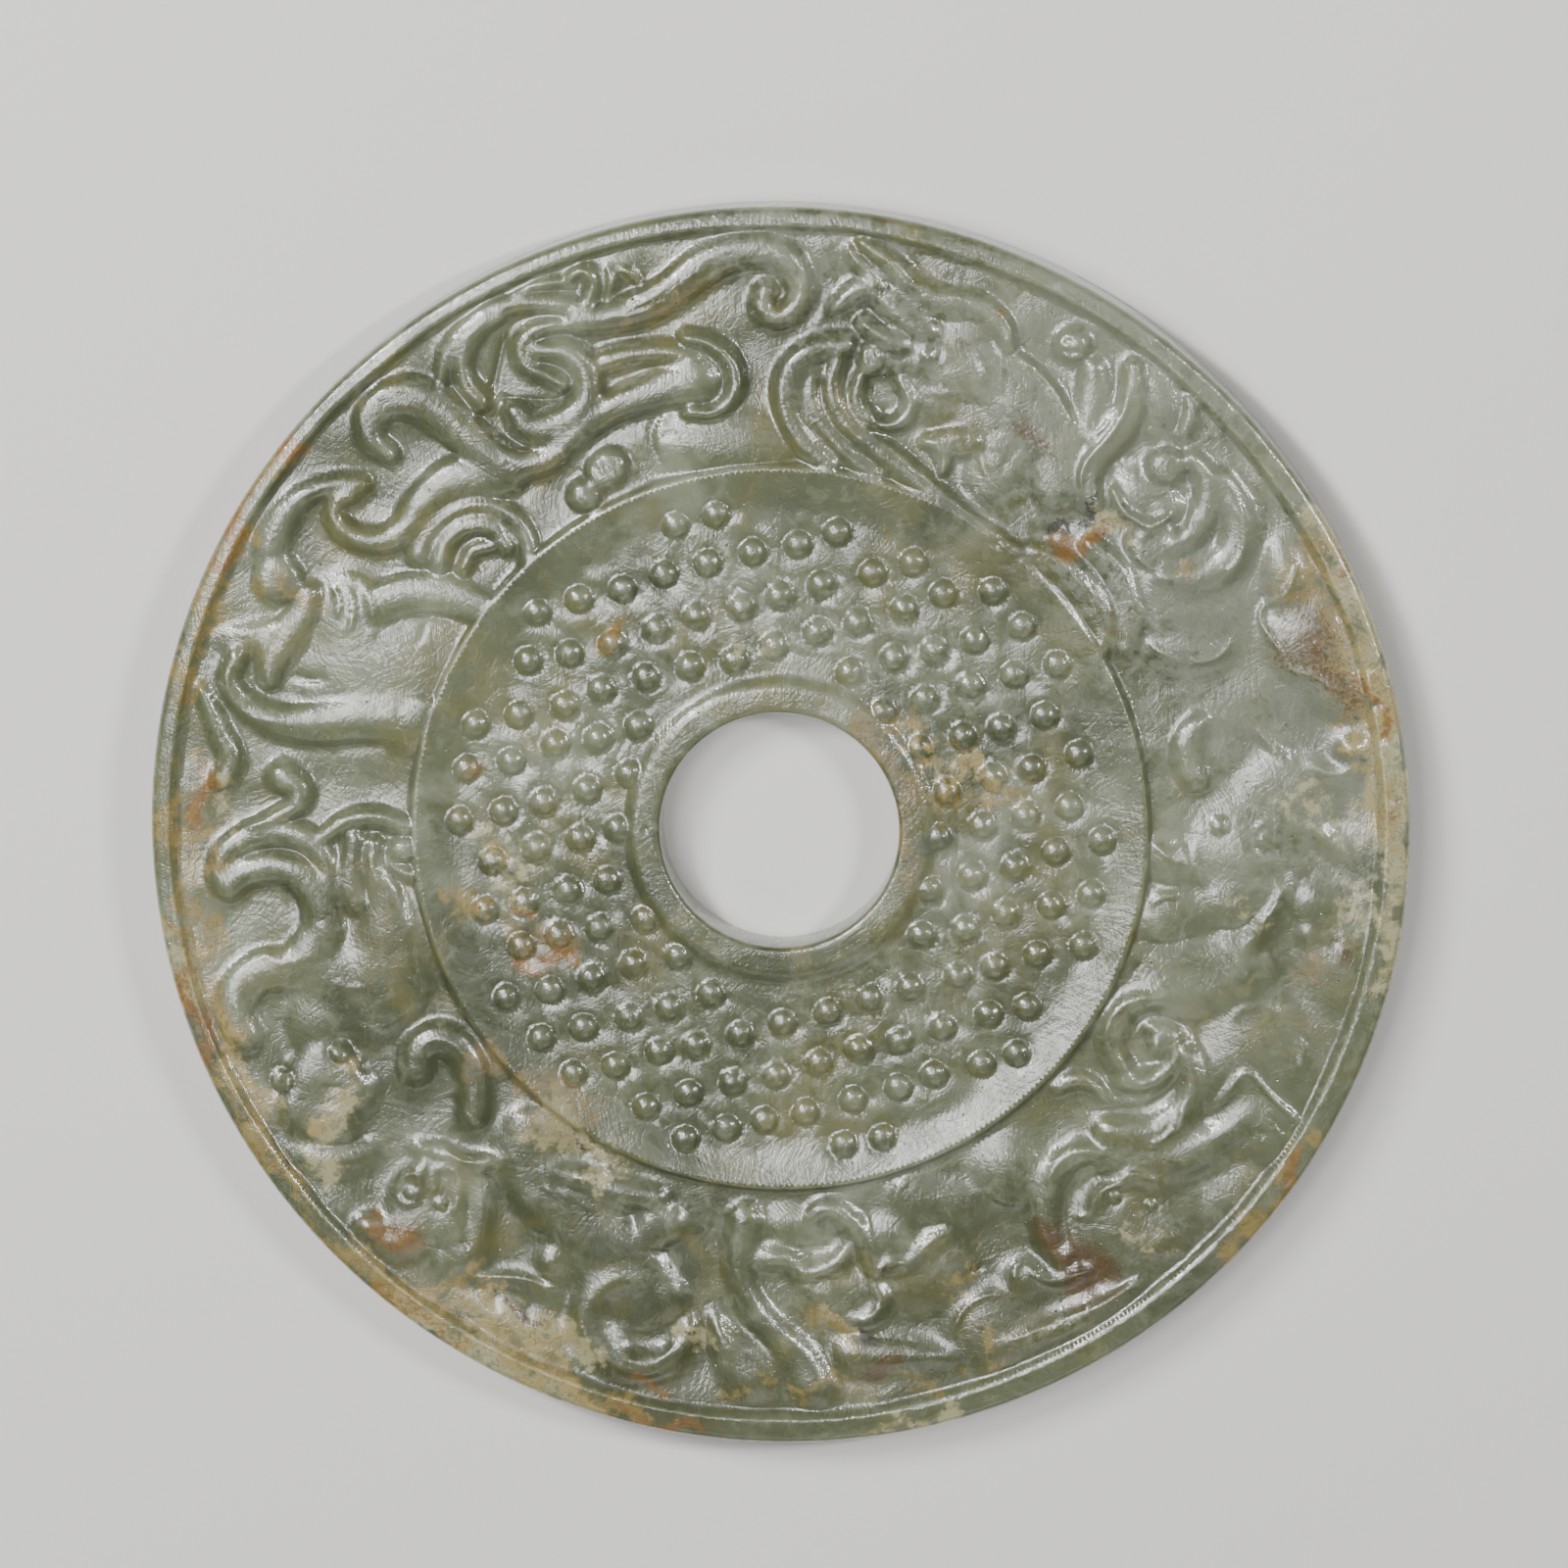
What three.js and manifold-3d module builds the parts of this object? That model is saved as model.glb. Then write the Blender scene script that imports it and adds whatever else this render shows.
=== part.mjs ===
// A jade bi disc, lying on its back.
//
// The slab is turned as one ring: a rounded rim, a sunken zone of coiling dragons, a sharp dividing
// ridge, a band that slopes inward, a field of round grain bosses and a smooth collar at the hole.
// The dragons are low bars and lumps bent along plan curves, and the bosses stand on a slanting
// lattice of rows. Everything is one stone, so it is all joined into a single solid.
//
// Millimetres, +Z up out of the carved face, origin at the centre of the underside.

import * as THREE from 'three';
import { mergeVertices } from 'three/addons/utils/BufferGeometryUtils.js';
import Module from 'manifold-3d';

const discRadius = 96;
const holeRadius = 18.2;
const thickness = 10;

const rimFlatInner = 92.6;
const rimSlopeFoot = 91;
const edgeRound = 2.6;
const dragonGround = 8;
const ridgeRadius = 56.3;
const ridgeHeight = 9.5;
const bandFootRadius = 49.7;
const fieldGround = 8.2;
const collarRadius = 22.6;
const collarHeight = 9.3;
const holeBevel = 0.9;
const backRecess = 1.2;
const backRimInner = 87;
const turnSides = 48;

const bossRadius = 2.1;
const bossRise = 1.1;
const bossOrigin = new THREE.Vector2(-0.7, 29.3);
const bossAlongRow = new THREE.Vector2(6.47, 1.72);
const bossNextRow = new THREE.Vector2(-1.4, -7.76);
const bossInnerLimit = 24;
const bossOuterLimit = 50.3;

const reliefRise = 1.75;
const reliefSink = 0.25;
const barStep = 6.3;
const barTop = Math.sin(Math.PI / 3);
const barEndWidth = 0.5;
const barEndRise = 0.7;

const wasm = await Module();
wasm.setup();

/** The closed solid of a three.js geometry. */
function solid(geometry) {
  const bare = geometry.clone();
  bare.deleteAttribute('normal');
  bare.deleteAttribute('uv');
  const merged = mergeVertices(bare, 1e-4);
  return new wasm.Manifold(new wasm.Mesh({
    numProp: 3,
    vertProperties: new Float32Array(merged.attributes.position.array),
    triVerts: new Uint32Array(merged.index.array),
  }));
}

/** The three.js geometry of a solid. */
function geometryOf(manifold) {
  const mesh = manifold.getMesh();
  const geometry = new THREE.BufferGeometry();
  geometry.setAttribute('position', new THREE.BufferAttribute(mesh.vertProperties, 3));
  geometry.setIndex(new THREE.BufferAttribute(mesh.triVerts, 1));
  geometry.computeVertexNormals();
  return geometry;
}

/** Points on a quarter round from one angle to another, in degrees. */
function roundCorner(radius, height, size, fromDegrees, toDegrees, steps) {
  const points = [];
  for (let i = 0; i <= steps; i += 1) {
    const angle = THREE.MathUtils.degToRad(fromDegrees + ((toDegrees - fromDegrees) * i) / steps);
    points.push([radius + size * Math.cos(angle), height + size * Math.sin(angle)]);
  }
  return points;
}

/** The slab turned about its axis, without its carving. */
function turnedSlab() {
  const outer = discRadius - edgeRound;
  const profile = [
    [holeRadius + holeBevel, 0],
    [collarRadius, 0],
    [collarRadius + 1, backRecess],
    [backRimInner, backRecess],
    [backRimInner + 1, 0],
    ...roundCorner(outer, edgeRound, edgeRound, -90, 0, 2),
    ...roundCorner(outer, thickness - edgeRound, edgeRound, 0, 90, 2),
    [rimFlatInner, thickness - 0.1],
    [rimSlopeFoot, dragonGround],
    [ridgeRadius + 0.7, dragonGround],
    [ridgeRadius, ridgeHeight],
    [bandFootRadius, fieldGround],
    [collarRadius + 1.4, fieldGround],
    [collarRadius - 0.4, collarHeight],
    [holeRadius + holeBevel, collarHeight],
    [holeRadius, collarHeight - holeBevel],
    [holeRadius, holeBevel],
    [holeRadius + holeBevel, 0],
  ];
  const outline = profile.map(([radius, height]) => new THREE.Vector2(radius, height));
  return new THREE.LatheGeometry(outline, turnSides).rotateX(Math.PI / 2);
}

/** A low dome with an oval plan, standing in the ground at a height. */
function lump(x, y, halfLength, halfWidth, rise, turn = 0, sides = 6, ground = dragonGround) {
  const ball = new THREE.SphereGeometry(1, sides, 4).rotateX(Math.PI / 2);
  ball.scale(halfLength, halfWidth, rise + reliefSink);
  ball.rotateZ(THREE.MathUtils.degToRad(turn));
  return ball.translate(x, y, ground - reliefSink);
}

/** A low bar bent along a plan curve through its points, widths running from start to end. */
function bar(points, widths, rise = reliefRise) {
  const curve = new THREE.CatmullRomCurve3(points.map(([x, y]) => new THREE.Vector3(x, y, 0)));
  const steps = Math.max(3, Math.round(curve.getLength() / barStep));
  const rod = new THREE.CylinderGeometry(1, 1, 1, 6, steps);
  const position = rod.attributes.position;
  const vertex = new THREE.Vector3();
  for (let i = 0; i < position.count; i += 1) {
    vertex.fromBufferAttribute(position, i);
    const along = THREE.MathUtils.clamp(vertex.y + 0.5, 0, 1);
    const place = along * (widths.length - 1);
    const slot = Math.min(Math.floor(place), widths.length - 2);
    const width = THREE.MathUtils.lerp(widths[slot], widths[slot + 1], place - slot);
    const isEnd = along < 0.5 / steps || along > 1 - 0.5 / steps;
    const halfWidth = (width / 2) * (isEnd ? barEndWidth : 1);
    const height = (rise + reliefSink) * (isEnd ? barEndRise : 1);
    const centre = curve.getPointAt(along);
    const heading = curve.getTangentAt(along);
    position.setXYZ(
      i,
      centre.x - heading.y * vertex.z * halfWidth,
      centre.y + heading.x * vertex.z * halfWidth,
      dragonGround - reliefSink + (vertex.x / barTop) * height,
    );
  }
  return rod;
}

/** The dragon at the upper left: body, mane, curling tail and hind legs. */
function upperLeftDragon() {
  return [
    bar([[-59.5, 58.3], [-62, 63], [-56, 68], [-47, 63.5], [-36, 57.5], [-28, 63], [-13, 70]], [5, 5.5, 8]),
    bar([[-48, 69], [-49, 75], [-43, 80], [-31, 81]], [4, 4.5]),
    bar([[-30.5, 79], [-37.5, 78], [-39.5, 74], [-37.5, 70.6], [-32, 69.3]], [3.5, 3.5]),
    bar([[-36.5, 74.8], [-29.5, 72.5], [-28.5, 67], [-33, 62.6], [-40.3, 64]], [4, 4.5], 1.9),
    bar([[-31, 86.2], [-27.8, 85.4], [-30.8, 80.8]], [2.2, 2.7]),
    bar([[-30, 78.8], [-17, 82.8], [-11, 87], [-3, 89.3], [2.6, 86.5], [2.4, 80.6], [-2.6, 80.6]], [4, 5.6, 4]),
    bar([[-26.5, 72.5], [-20, 74.4], [-10.5, 75.5], [-6.6, 70], [-8, 65.8], [-13.5, 65]], [3, 2.8]),
    lump(-15.5, 60, 3, 4.5, 1.6),
    lump(-29.3, 52.3, 2.8, 2.8, 1.6),
    lump(-25, 56.5, 3.6, 3.2, 1.6),
    bar([[-46, 57], [-54, 53.5], [-59, 46.3], [-66, 46.6], [-67, 51], [-62.5, 52.2]], [5, 4.5, 2.8]),
    bar([[-54, 44], [-50, 48.2], [-43.5, 49.3], [-39, 46.5], [-39.5, 42]], [4, 4.4]),
    bar([[-52, 42], [-48, 44.6], [-45, 42]], [3, 3]),
    bar([[-76, 39.8], [-76.5, 46], [-72, 52.5], [-64, 54]], [6.5, 5, 3.5]),
  ];
}

/** The haunch and looped body at the left, and the forelegs and face below it. */
function leftDragon() {
  return [
    bar([[-62, 34.5], [-55, 37], [-45.5, 35.4]], [6, 6.5]),
    lump(-66, 27, 7.5, 8.5, 1.7),
    bar([[-57.5, 18], [-67, 17.2], [-76, 17.2], [-83, 22], [-82, 28]], [8, 7, 6]),
    bar([[-87, 21], [-85.2, 15], [-85.4, 9]], [3, 4]),
    bar([[-85, 32.6], [-79, 33.4], [-72, 38]], [2.6, 3]),
    bar([[-76, 9.6], [-74, 6], [-80, 1.3]], [5, 4, 1.6]),
    bar([[-86, -6], [-82, -0.8], [-73, -0.8], [-68.6, -7], [-65.5, -11.5]], [3.5, 3.5]),
    bar([[-84.5, -8.5], [-76.5, -5.6], [-70, -11.5], [-72, -18.6], [-81, -21], [-83, -31]], [4, 4.5, 6]),
    bar([[-71, -21], [-71.5, -27], [-70.5, -33]], [5.5, 6]),
    bar([[-69, 0.6], [-63, 3], [-57.5, 1.5]], [2.8, 3]),
    lump(-57.8, -2.5, 2.4, 2.4, 1.6),
    bar([[-64.5, 0], [-64.4, -5.5], [-64.7, -11.5]], [3, 4]),
    bar([[-61.5, -6], [-60.5, -15], [-61.5, -25.5]], [7, 11, 9]),
    lump(-70, -41, 7.4, 7.8, 1.9),
    lump(-67.3, -34.2, 2.8, 2.8, 2),
    lump(-76.3, -38.8, 2.8, 2.8, 2),
    lump(-68, -45.4, 3.4, 3, 2),
    lump(-67.5, -50.8, 5, 2.6, 1.4),
  ];
}

/** The dragon at the lower left: hook, head, body and spiral tail. */
function lowerLeftDragon() {
  return [
    bar([[-55.5, -37.2], [-53, -31.8], [-47.5, -35], [-46.8, -44]], [6, 5]),
    bar([[-38.5, -46], [-41, -54], [-34, -61], [-21, -68.5], [-13, -77]], [8, 7.5, 6]),
    bar([[-13.4, -79], [-19.5, -85.2], [-28.5, -81.3], [-28.6, -73.2], [-24.8, -72]], [5, 4.5, 4.5]),
    lump(-54, -58, 8, 8.5, 1.7),
    lump(-56.5, -55.7, 1.6, 1.6, 2),
    lump(-51.6, -57, 1.5, 1.5, 2),
    bar([[-64, -60.4], [-60, -65], [-54, -68.2], [-49.5, -65.8]], [3, 3.4]),
    bar([[-47.2, -52], [-45.2, -58], [-46.6, -66]], [3.4, 4.4]),
    bar([[-57.5, -51.6], [-52, -49], [-47.5, -52]], [2.4, 2.6]),
    bar([[-48, -69.8], [-40, -70.4], [-34.5, -73]], [2, 3, 2]),
    lump(-35.5, -66.6, 3, 3, 1.5),
    lump(-15, -60.5, 5, 4.5, 1.4),
  ];
}

/** The legs and claws along the bottom. */
function lowerLimbs() {
  return [
    bar([[-4.5, -61.5], [-6.2, -68], [0, -79.5], [5.6, -86]], [6, 5, 6]),
    bar([[-9.5, -76], [-7, -81.6], [-3.7, -85.4]], [2.4, 5]),
    bar([[0, -67.5], [4.5, -69], [10.5, -65]], [3.6, 3.4]),
    bar([[6.3, -60], [10.6, -61.8], [14.5, -69]], [4.2, 3.6]),
    bar([[10, -72.4], [15, -72], [12, -75.8]], [2.8, 2.8]),
    lump(17.4, -67.6, 2.6, 2.2, 1.5),
    bar([[21, -67], [25.6, -62.8]], [5, 3.6], 1.2),
    bar([[13, -82], [20, -82.6], [27.5, -82]], [7, 4.6, 2]),
    lump(22, -57.6, 5, 3.2, 1.4),
    lump(35.5, -53, 4.5, 4.5, 1.5),
    lump(38.5, -70.5, 2.8, 2.8, 1.6),
    lump(31.6, -77.6, 4.8, 5.8, 1.5),
    bar([[36, -79], [45, -77], [58, -70]], [4.4, 3.6, 2.2]),
  ];
}

/** The dragon at the lower right: head, spiral, long limb and haunch. */
function lowerRightDragon() {
  return [
    bar([[47, -49.8], [41, -54.5], [41, -62], [47, -68]], [5, 5.5]),
    lump(54.2, -60.4, 7.4, 7, 1.9),
    lump(52, -57, 1.9, 1.9, 1.95),
    lump(57.2, -58.2, 1.5, 1.5, 1.95),
    bar([[49.4, -57], [52, -54.2], [59, -55]], [2, 2.2], 1.95),
    bar([[61.5, -27.4], [54, -28], [51, -34], [54.5, -38.7], [60, -35], [58.6, -30.6]], [4.2, 4.6, 3.4]),
    lump(56.6, -33.2, 1.8, 1.8, 1.7),
    bar([[46, -42.5], [52, -45.4], [59, -43.4], [61.8, -38]], [3.6, 4.2]),
    bar([[48, -50], [60, -50.6], [67, -46.5], [71.3, -38.5]], [4, 5.6, 6]),
    bar([[79, -46.5], [73.5, -44.5], [70.5, -41]], [6, 6.5]),
    lump(74.6, -33.6, 5.8, 6.8, 1.7),
    bar([[56, -24.6], [66, -26], [72, -19.5]], [4.5, 6, 5]),
  ];
}

/** The face, paws and tongue at the right, with the rough rock beside the rim. */
function rightDragon() {
  return [
    lump(70.4, -6, 8.4, 9.6, 1.8),
    lump(66.9, 1, 2.8, 2.8, 1.9),
    lump(74.8, -0.8, 2.8, 2.8, 1.9),
    lump(67.6, -12.4, 3.2, 3, 2),
    lump(60.4, -6.5, 3.6, 5, 1.6),
    lump(59.6, -13.5, 4.6, 4.4, 1.6),
    lump(80.4, -11, 3, 3.3, 1.5),
    lump(81.4, -17.2, 2.6, 2.5, 1.4),
    lump(84.6, 12.5, 3.8, 4, 1.6),
    bar([[66, 17.5], [62, 13.6], [63, 8]], [4.6, 5]),
    bar([[67, 50.5], [69.4, 44.5], [65, 38.8], [58, 38]], [4.6, 5.2]),
    bar([[55.4, 30], [61, 28.6], [67.5, 30]], [4, 4]),
    bar([[75.6, 41.5], [76, 34], [79.6, 27.6], [84, 20]], [4, 8, 5]),
  ];
}

/** The claw, twisting limb and crescents at the upper right. */
function upperRightDragon() {
  return [
    lump(45.5, 74.5, 3.8, 3.2, 1.6),
    bar([[46.6, 71.5], [46.6, 66], [45.6, 60.5]], [7, 6.5, 3.6]),
    bar([[52.3, 69.8], [51.8, 63.6], [46, 56], [46, 48.5]], [6, 6, 5]),
    bar([[61.6, 67.4], [61.9, 64], [60.6, 60.8]], [2.4, 3]),
    bar([[57.4, 56], [63.5, 55], [63.6, 48], [57.4, 45]], [5.5, 4, 7]),
    bar([[50.6, 53], [52.6, 48.8], [57.6, 48.4]], [2, 2.4]),
    bar([[38.6, 42.6], [44.6, 38], [48.8, 30]], [5, 7, 5]),
  ];
}

/** The dragon at the top, its head in profile facing left over a swept mane. */
function topDragon() {
  return [
    bar([[10.5, 88.6], [15, 85.6], [22, 78.5]], [4, 5]),
    bar([[16.6, 89.6], [20, 84.6], [30, 81.6], [34.4, 76]], [4, 4.5]),
    bar([[7.6, 79.6], [13, 82], [21, 78.4]], [2, 3.4]),
    bar([[14.4, 73.5], [15, 69], [18.8, 66.4], [14.8, 64]], [3.4, 3, 2.4]),
    lump(24.4, 73, 5.6, 5.4, 2),
    lump(22, 73.3, 1.8, 1.3, 1.98),
    bar([[26, 71], [35.6, 70], [41, 63], [43, 56]], [9, 9, 6]),
    lump(34.6, 58.6, 4.8, 6, 1.7, 20),
    lump(26, 58.6, 4.6, 3.4, 1.5),
    bar([[9, 75], [1.6, 70.5], [2, 63.6], [7.4, 57.4]], [4, 4.6, 4]),
    bar([[6.4, 71.4], [6, 64.6], [16, 55.8]], [3.4, 4, 3.2]),
    bar([[10, 73], [10, 67], [22, 56.6], [37, 43]], [3.4, 4, 4]),
  ];
}

/** The round grain bosses, on the crossings of a slanting lattice inside the sloping band. */
function grainBosses() {
  const bosses = [];
  const reach = Math.ceil((2 * bossOuterLimit) / bossAlongRow.x);
  for (let row = -reach; row <= reach; row += 1) {
    for (let column = -reach; column <= reach; column += 1) {
      const place = bossOrigin.clone()
        .addScaledVector(bossAlongRow, column)
        .addScaledVector(bossNextRow, row);
      const radius = place.length();
      if (radius > bossInnerLimit && radius < bossOuterLimit) {
        bosses.push(lump(place.x, place.y, bossRadius, bossRadius, bossRise, 0, 5, fieldGround));
      }
    }
  }
  return bosses;
}

const carving = [
  ...upperLeftDragon(),
  ...leftDragon(),
  ...lowerLeftDragon(),
  ...lowerLimbs(),
  ...lowerRightDragon(),
  ...rightDragon(),
  ...upperRightDragon(),
  ...topDragon(),
  ...grainBosses(),
];

const stone = wasm.Manifold.union([turnedSlab(), ...carving].map(solid));

const jade = new THREE.MeshStandardMaterial({ color: 0x8c947a, roughness: 0.22, metalness: 0 });
const disc = new THREE.Mesh(geometryOf(stone), jade);
disc.name = 'jade_disc';

const group = new THREE.Group();
group.add(disc);

export default group;
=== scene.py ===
import math
import bpy
import numpy as np
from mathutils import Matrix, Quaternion, Vector


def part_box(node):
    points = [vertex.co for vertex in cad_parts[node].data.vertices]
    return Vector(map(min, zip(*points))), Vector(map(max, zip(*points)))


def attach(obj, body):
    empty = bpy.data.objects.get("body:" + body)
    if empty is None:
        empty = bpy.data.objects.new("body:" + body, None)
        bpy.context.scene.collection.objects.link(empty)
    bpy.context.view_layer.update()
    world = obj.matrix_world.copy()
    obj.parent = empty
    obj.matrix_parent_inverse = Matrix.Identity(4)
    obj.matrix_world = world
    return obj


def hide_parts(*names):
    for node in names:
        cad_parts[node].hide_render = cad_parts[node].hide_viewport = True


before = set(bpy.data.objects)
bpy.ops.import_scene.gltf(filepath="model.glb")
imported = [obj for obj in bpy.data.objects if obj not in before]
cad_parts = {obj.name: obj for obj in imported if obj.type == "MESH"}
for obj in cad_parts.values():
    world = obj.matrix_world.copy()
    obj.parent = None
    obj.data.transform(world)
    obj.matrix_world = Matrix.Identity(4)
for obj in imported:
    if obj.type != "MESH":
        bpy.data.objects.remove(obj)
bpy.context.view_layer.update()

mm = 0.001

# the disc's turned form, in mm
disc = {
    "radius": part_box("jade_disc")[1][0] / mm,
    "thickness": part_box("jade_disc")[1][2] / mm,
    "holeRadius": 18.2,
    "holeBevel": 0.9,
    "edgeRound": 1.3,
    "rimDrop": 0.2,                # the rim falls away a little towards its edge
    "rimLean": 10,
    "backRound": 1.8,
    "collarOuter": 22.0,
    "collarFoot": 24.4,
    "fieldGround": 8.2,
    "bandFoot": 49.8,
    "bandTop": 55.0,
    "ridge": 55.9,
    "ridgeFoot": 56.8,
    "ridgeTop": 9.5,
    "dragonGround": 8.0,
    "zoneDish": 0.3,               # the dragon zone is this much lower in its middle
    "slopeFoot": 91.2,
    "slopeTop": 92.8,
    "slopeRise": 1.91,
    "lip": 0.09,                   # the crest where the slope meets the rim
    "rimShift": 0.8,               # the rim is this much narrower at the upper left, wider opposite
    "rimTurn": 2.27,               # which way that is, in radians
    "holeShift": (0.15, 0.5),
    "lean": 0.0065,                # how far the drawing's axes lean towards each other
    "backGround": 1.2,
    "backBossRise": 0.8,
}

boss = {
    "origin": (-0.7, 29.3),        # one crossing of the lattice
    "alongRow": (6.47, 1.72),
    "nextRow": (-1.4, -7.76),
    "radius": 2.1,
    "rise": 1.0,
    "wander": 0.35,                # how far a carver's hand strays from the lattice
    "inner": 24.0,
    "outer": 50.4,
    "seed": 7,
}

# the dragons, in mm, with x to the right and y up as one looks down on the disc
# bands: (widths from start to end, rise, points...)   mounds: (x, y, half length, half width, turn, rise)
# soft: how much gentler than usual the sides of a dragon's forms are
# swells: as mounds, but flowing into what is beside them without an edge
# crests and grooves: (size, points...)   eyes: (x, y, radius)
# cuts: (depth, width, points...), sloping on the left of their way, steep on the right
upperLeftDragon = {
    "bands": [
        ((6, 4.5, 3.4, 3), 1.4, (-76, 39.5), (-77, 44.5), (-75.3, 49), (-72, 52.3), (-67.5, 54),
         (-63.5, 54)),
        ((7.4, 6.8, 5.8, 4.6, 3.8, 3.2, 2.6), 1.6, (-42, 56), (-47, 55.2), (-51, 53.6), (-54.3, 50.6),
         (-56.6, 47.4), (-60, 45.4), (-64.5, 46), (-67.4, 48.8), (-66.8, 51.6), (-64.8, 52.4)),
        ((4, 3.6, 3.2, 3), 1.3, (-54.6, 43.4), (-52.6, 47), (-48.8, 49.8), (-44.4, 50.4), (-40.2, 48.6),
         (-38, 45), (-38, 42)),
        ((3.4, 3.2, 3), 1.5, (-51.5, 42), (-50.4, 45.2), (-47.4, 47.4), (-43.6, 47.4), (-41.2, 44.4)),
        ((2.4, 2.8), 1.2, (-48, 41), (-46.4, 43.8), (-43.6, 44.6)),
        ((3.6, 3.2, 3.6), 1.5, (-26.5, 72.6), (-22, 73.7), (-17, 74), (-13, 73)),
        ((2, 3, 3.2, 3, 3), 1.3, (-51, 69.5), (-50.4, 73.4), (-47.6, 77.4), (-43, 80.6), (-37.4, 81.6),
         (-31.4, 81)),
        ((3.4, 3, 2.6, 1.4), 1.6, (-45.2, 66.6), (-47.6, 70.4), (-47.4, 74.4), (-45.2, 77.6),
         (-41.6, 79.6)),
        ((1, 2, 1.4), 1.0, (-40.4, 83), (-36, 84.4), (-31.6, 84.9)),
        ((3, 4.2, 5.4, 6.6, 6.6, 5.8, 5.2, 4.8, 4.4, 4, 4.4, 5, 6, 7), 1.9, (-59, 58.6), (-61.6, 61),
         (-61.6, 64.6), (-58.4, 67), (-53.8, 66.6), (-49.6, 63.8), (-46, 60.4), (-42.6, 58), (-39, 57),
         (-35, 58), (-31.5, 60.8), (-28, 63.8), (-24.4, 66), (-19.6, 67.6), (-13, 69.6)),
        ((2.2, 3, 3, 2.4), 1.6, (-31, 78.4), (-36, 77.8), (-39, 75), (-38, 72), (-35, 70.6),
         (-32.6, 69.2)),
        ((3, 4, 4.4, 4.6, 5.4, 5.4, 3.6), 1.9, (-36.4, 74.4), (-32.4, 74.2), (-29.6, 72), (-28.8, 68.2),
         (-30.6, 64.6), (-34.4, 62.6), (-38, 62.8), (-39.8, 65)),
        ((1.4, 2.4, 2.4, 1.6), 1.5, (-31.6, 85.6), (-29.6, 86.6), (-28, 85), (-28.6, 82.2),
         (-31.2, 79.8)),
        ((1, 2.2, 1.2), 1.2, (-25.8, 86.8), (-25.2, 84.8), (-26, 82.4)),
        ((0.8, 1.8, 0.8), 1, (-25, 87), (-22.6, 86.2), (-21, 84.6)),
        ((4, 5.4, 5.6, 5, 3.8, 3.4), 1.7, (-30.4, 78.8), (-26.5, 79.2), (-21.5, 80.5), (-16.5, 83.2),
         (-11.8, 86.8), (-7, 89), (-2, 89.4), (1.6, 87.4), (3.2, 84), (2.4, 80.8), (0, 79.4),
         (-2.6, 80.6), (-2, 83.2)),
        ((2.4, 2.8, 2.6), 1.9, (-14, 76.3), (-10.5, 75.5), (-7.5, 73), (-6.6, 70), (-7.4, 66.8),
         (-10, 65), (-13.5, 65)),
    ],
    "mounds": [
        (-76, 39.4, 3.9, 3.7, 0, 1.5), (-29.3, 52.3, 2.8, 2.7, 0, 1.6), (-26, 56.2, 3.6, 3, 40, 1.6),
    ],
    "swells": [(-12.4, 70.2, 5.6, 4.4, 0, 1.6), (-9, 60.2, 10, 4.7, -4, 1.5)],
    "crests": [
        (0.25, (-28, 79.2), (-20, 82), (-12, 87), (-5, 89.6), (0, 89.3), (3, 86), (3.4, 82.5), (1, 80),
         (-2.4, 79.9)),
        (0.25, (-13, 77.6), (-8, 76), (-5.6, 71.6), (-6.6, 67.4), (-10, 64.8), (-14.6, 65.6)),
        (0.2, (-27, 79), (-23, 79.6), (-19.7, 80.6), (-15.6, 83), (-10.7, 87.6), (-7, 89.2)),
        (0.2, (-45.8, 66.4), (-49, 70), (-49, 74.4), (-46.4, 78), (-42, 80.4)),
        (0.12, (-75, 42), (-74.8, 47), (-73, 50.5)), (0.2, (-23.8, 59.4), (-22.4, 57.4), (-21.8, 54.8)),
        (0.16, (-36.8, 75.4), (-37.6, 73.8), (-36, 72.2), (-33, 71.4), (-31.4, 69.6), (-32, 67.2)),
        (0.16, (-51, 48.6), (-47, 51), (-43, 51), (-39.6, 49), (-38, 46)),
        (0.14, (-50.6, 46.4), (-47.4, 48.6), (-43.4, 48.6), (-40.4, 46)),
        (0.16, (-25.6, 82.6), (-21.4, 82.8), (-17.4, 84.8), (-12.6, 88.6)),
    ],
    "grooves": [
        (0.24, (-62.6, 63.4), (-61.4, 66), (-58.6, 67.2), (-54.6, 67)),
        (0.24, (-62, 60.4), (-62.4, 63), (-60.4, 64.6), (-57.6, 64.6)),
        (0.2, (-15.5, 75.3), (-12, 73.8), (-9.6, 72), (-8.6, 69.8), (-9.2, 67.4), (-11.2, 66),
         (-14, 66.4)),
        (0.2, (-17.5, 62.8), (-15.2, 63.6)), (0.2, (-17.8, 61.3), (-15.4, 61.9)),
        (0.2, (-17.2, 64), (-15, 64.6)), (0.25, (-28.4, 57.6), (-26.6, 54.6)),
        (0.25, (-27, 58.4), (-25, 55)), (0.25, (-25.8, 58.8), (-23.8, 55.6)),
        (0.2, (-44, 60.6), (-41.5, 57.6), (-38, 55.8)), (0.2, (-30.4, 60.6), (-26, 64.6), (-22, 67.4)),
        (0.2, (-39.6, 83.8), (-35, 83.6), (-31.6, 84)),
        (0.2, (-64.4, 50), (-64.8, 48.4), (-62, 47), (-59.4, 47.6)),
    ],
    "cuts": [
        (0.5, 0.8, (-17, 56.2), (-19.2, 60.5), (-17.8, 64.4), (-12.5, 66)),
        (0.8, 0.7, (-43.4, 66.8), (-42.9, 70), (-41.9, 74.4), (-41.1, 78)),
        (0.6, 0.5, (-31.6, 69.4), (-33, 67.2), (-37, 66.9), (-43.2, 67.3)),
    ],
}

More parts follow.
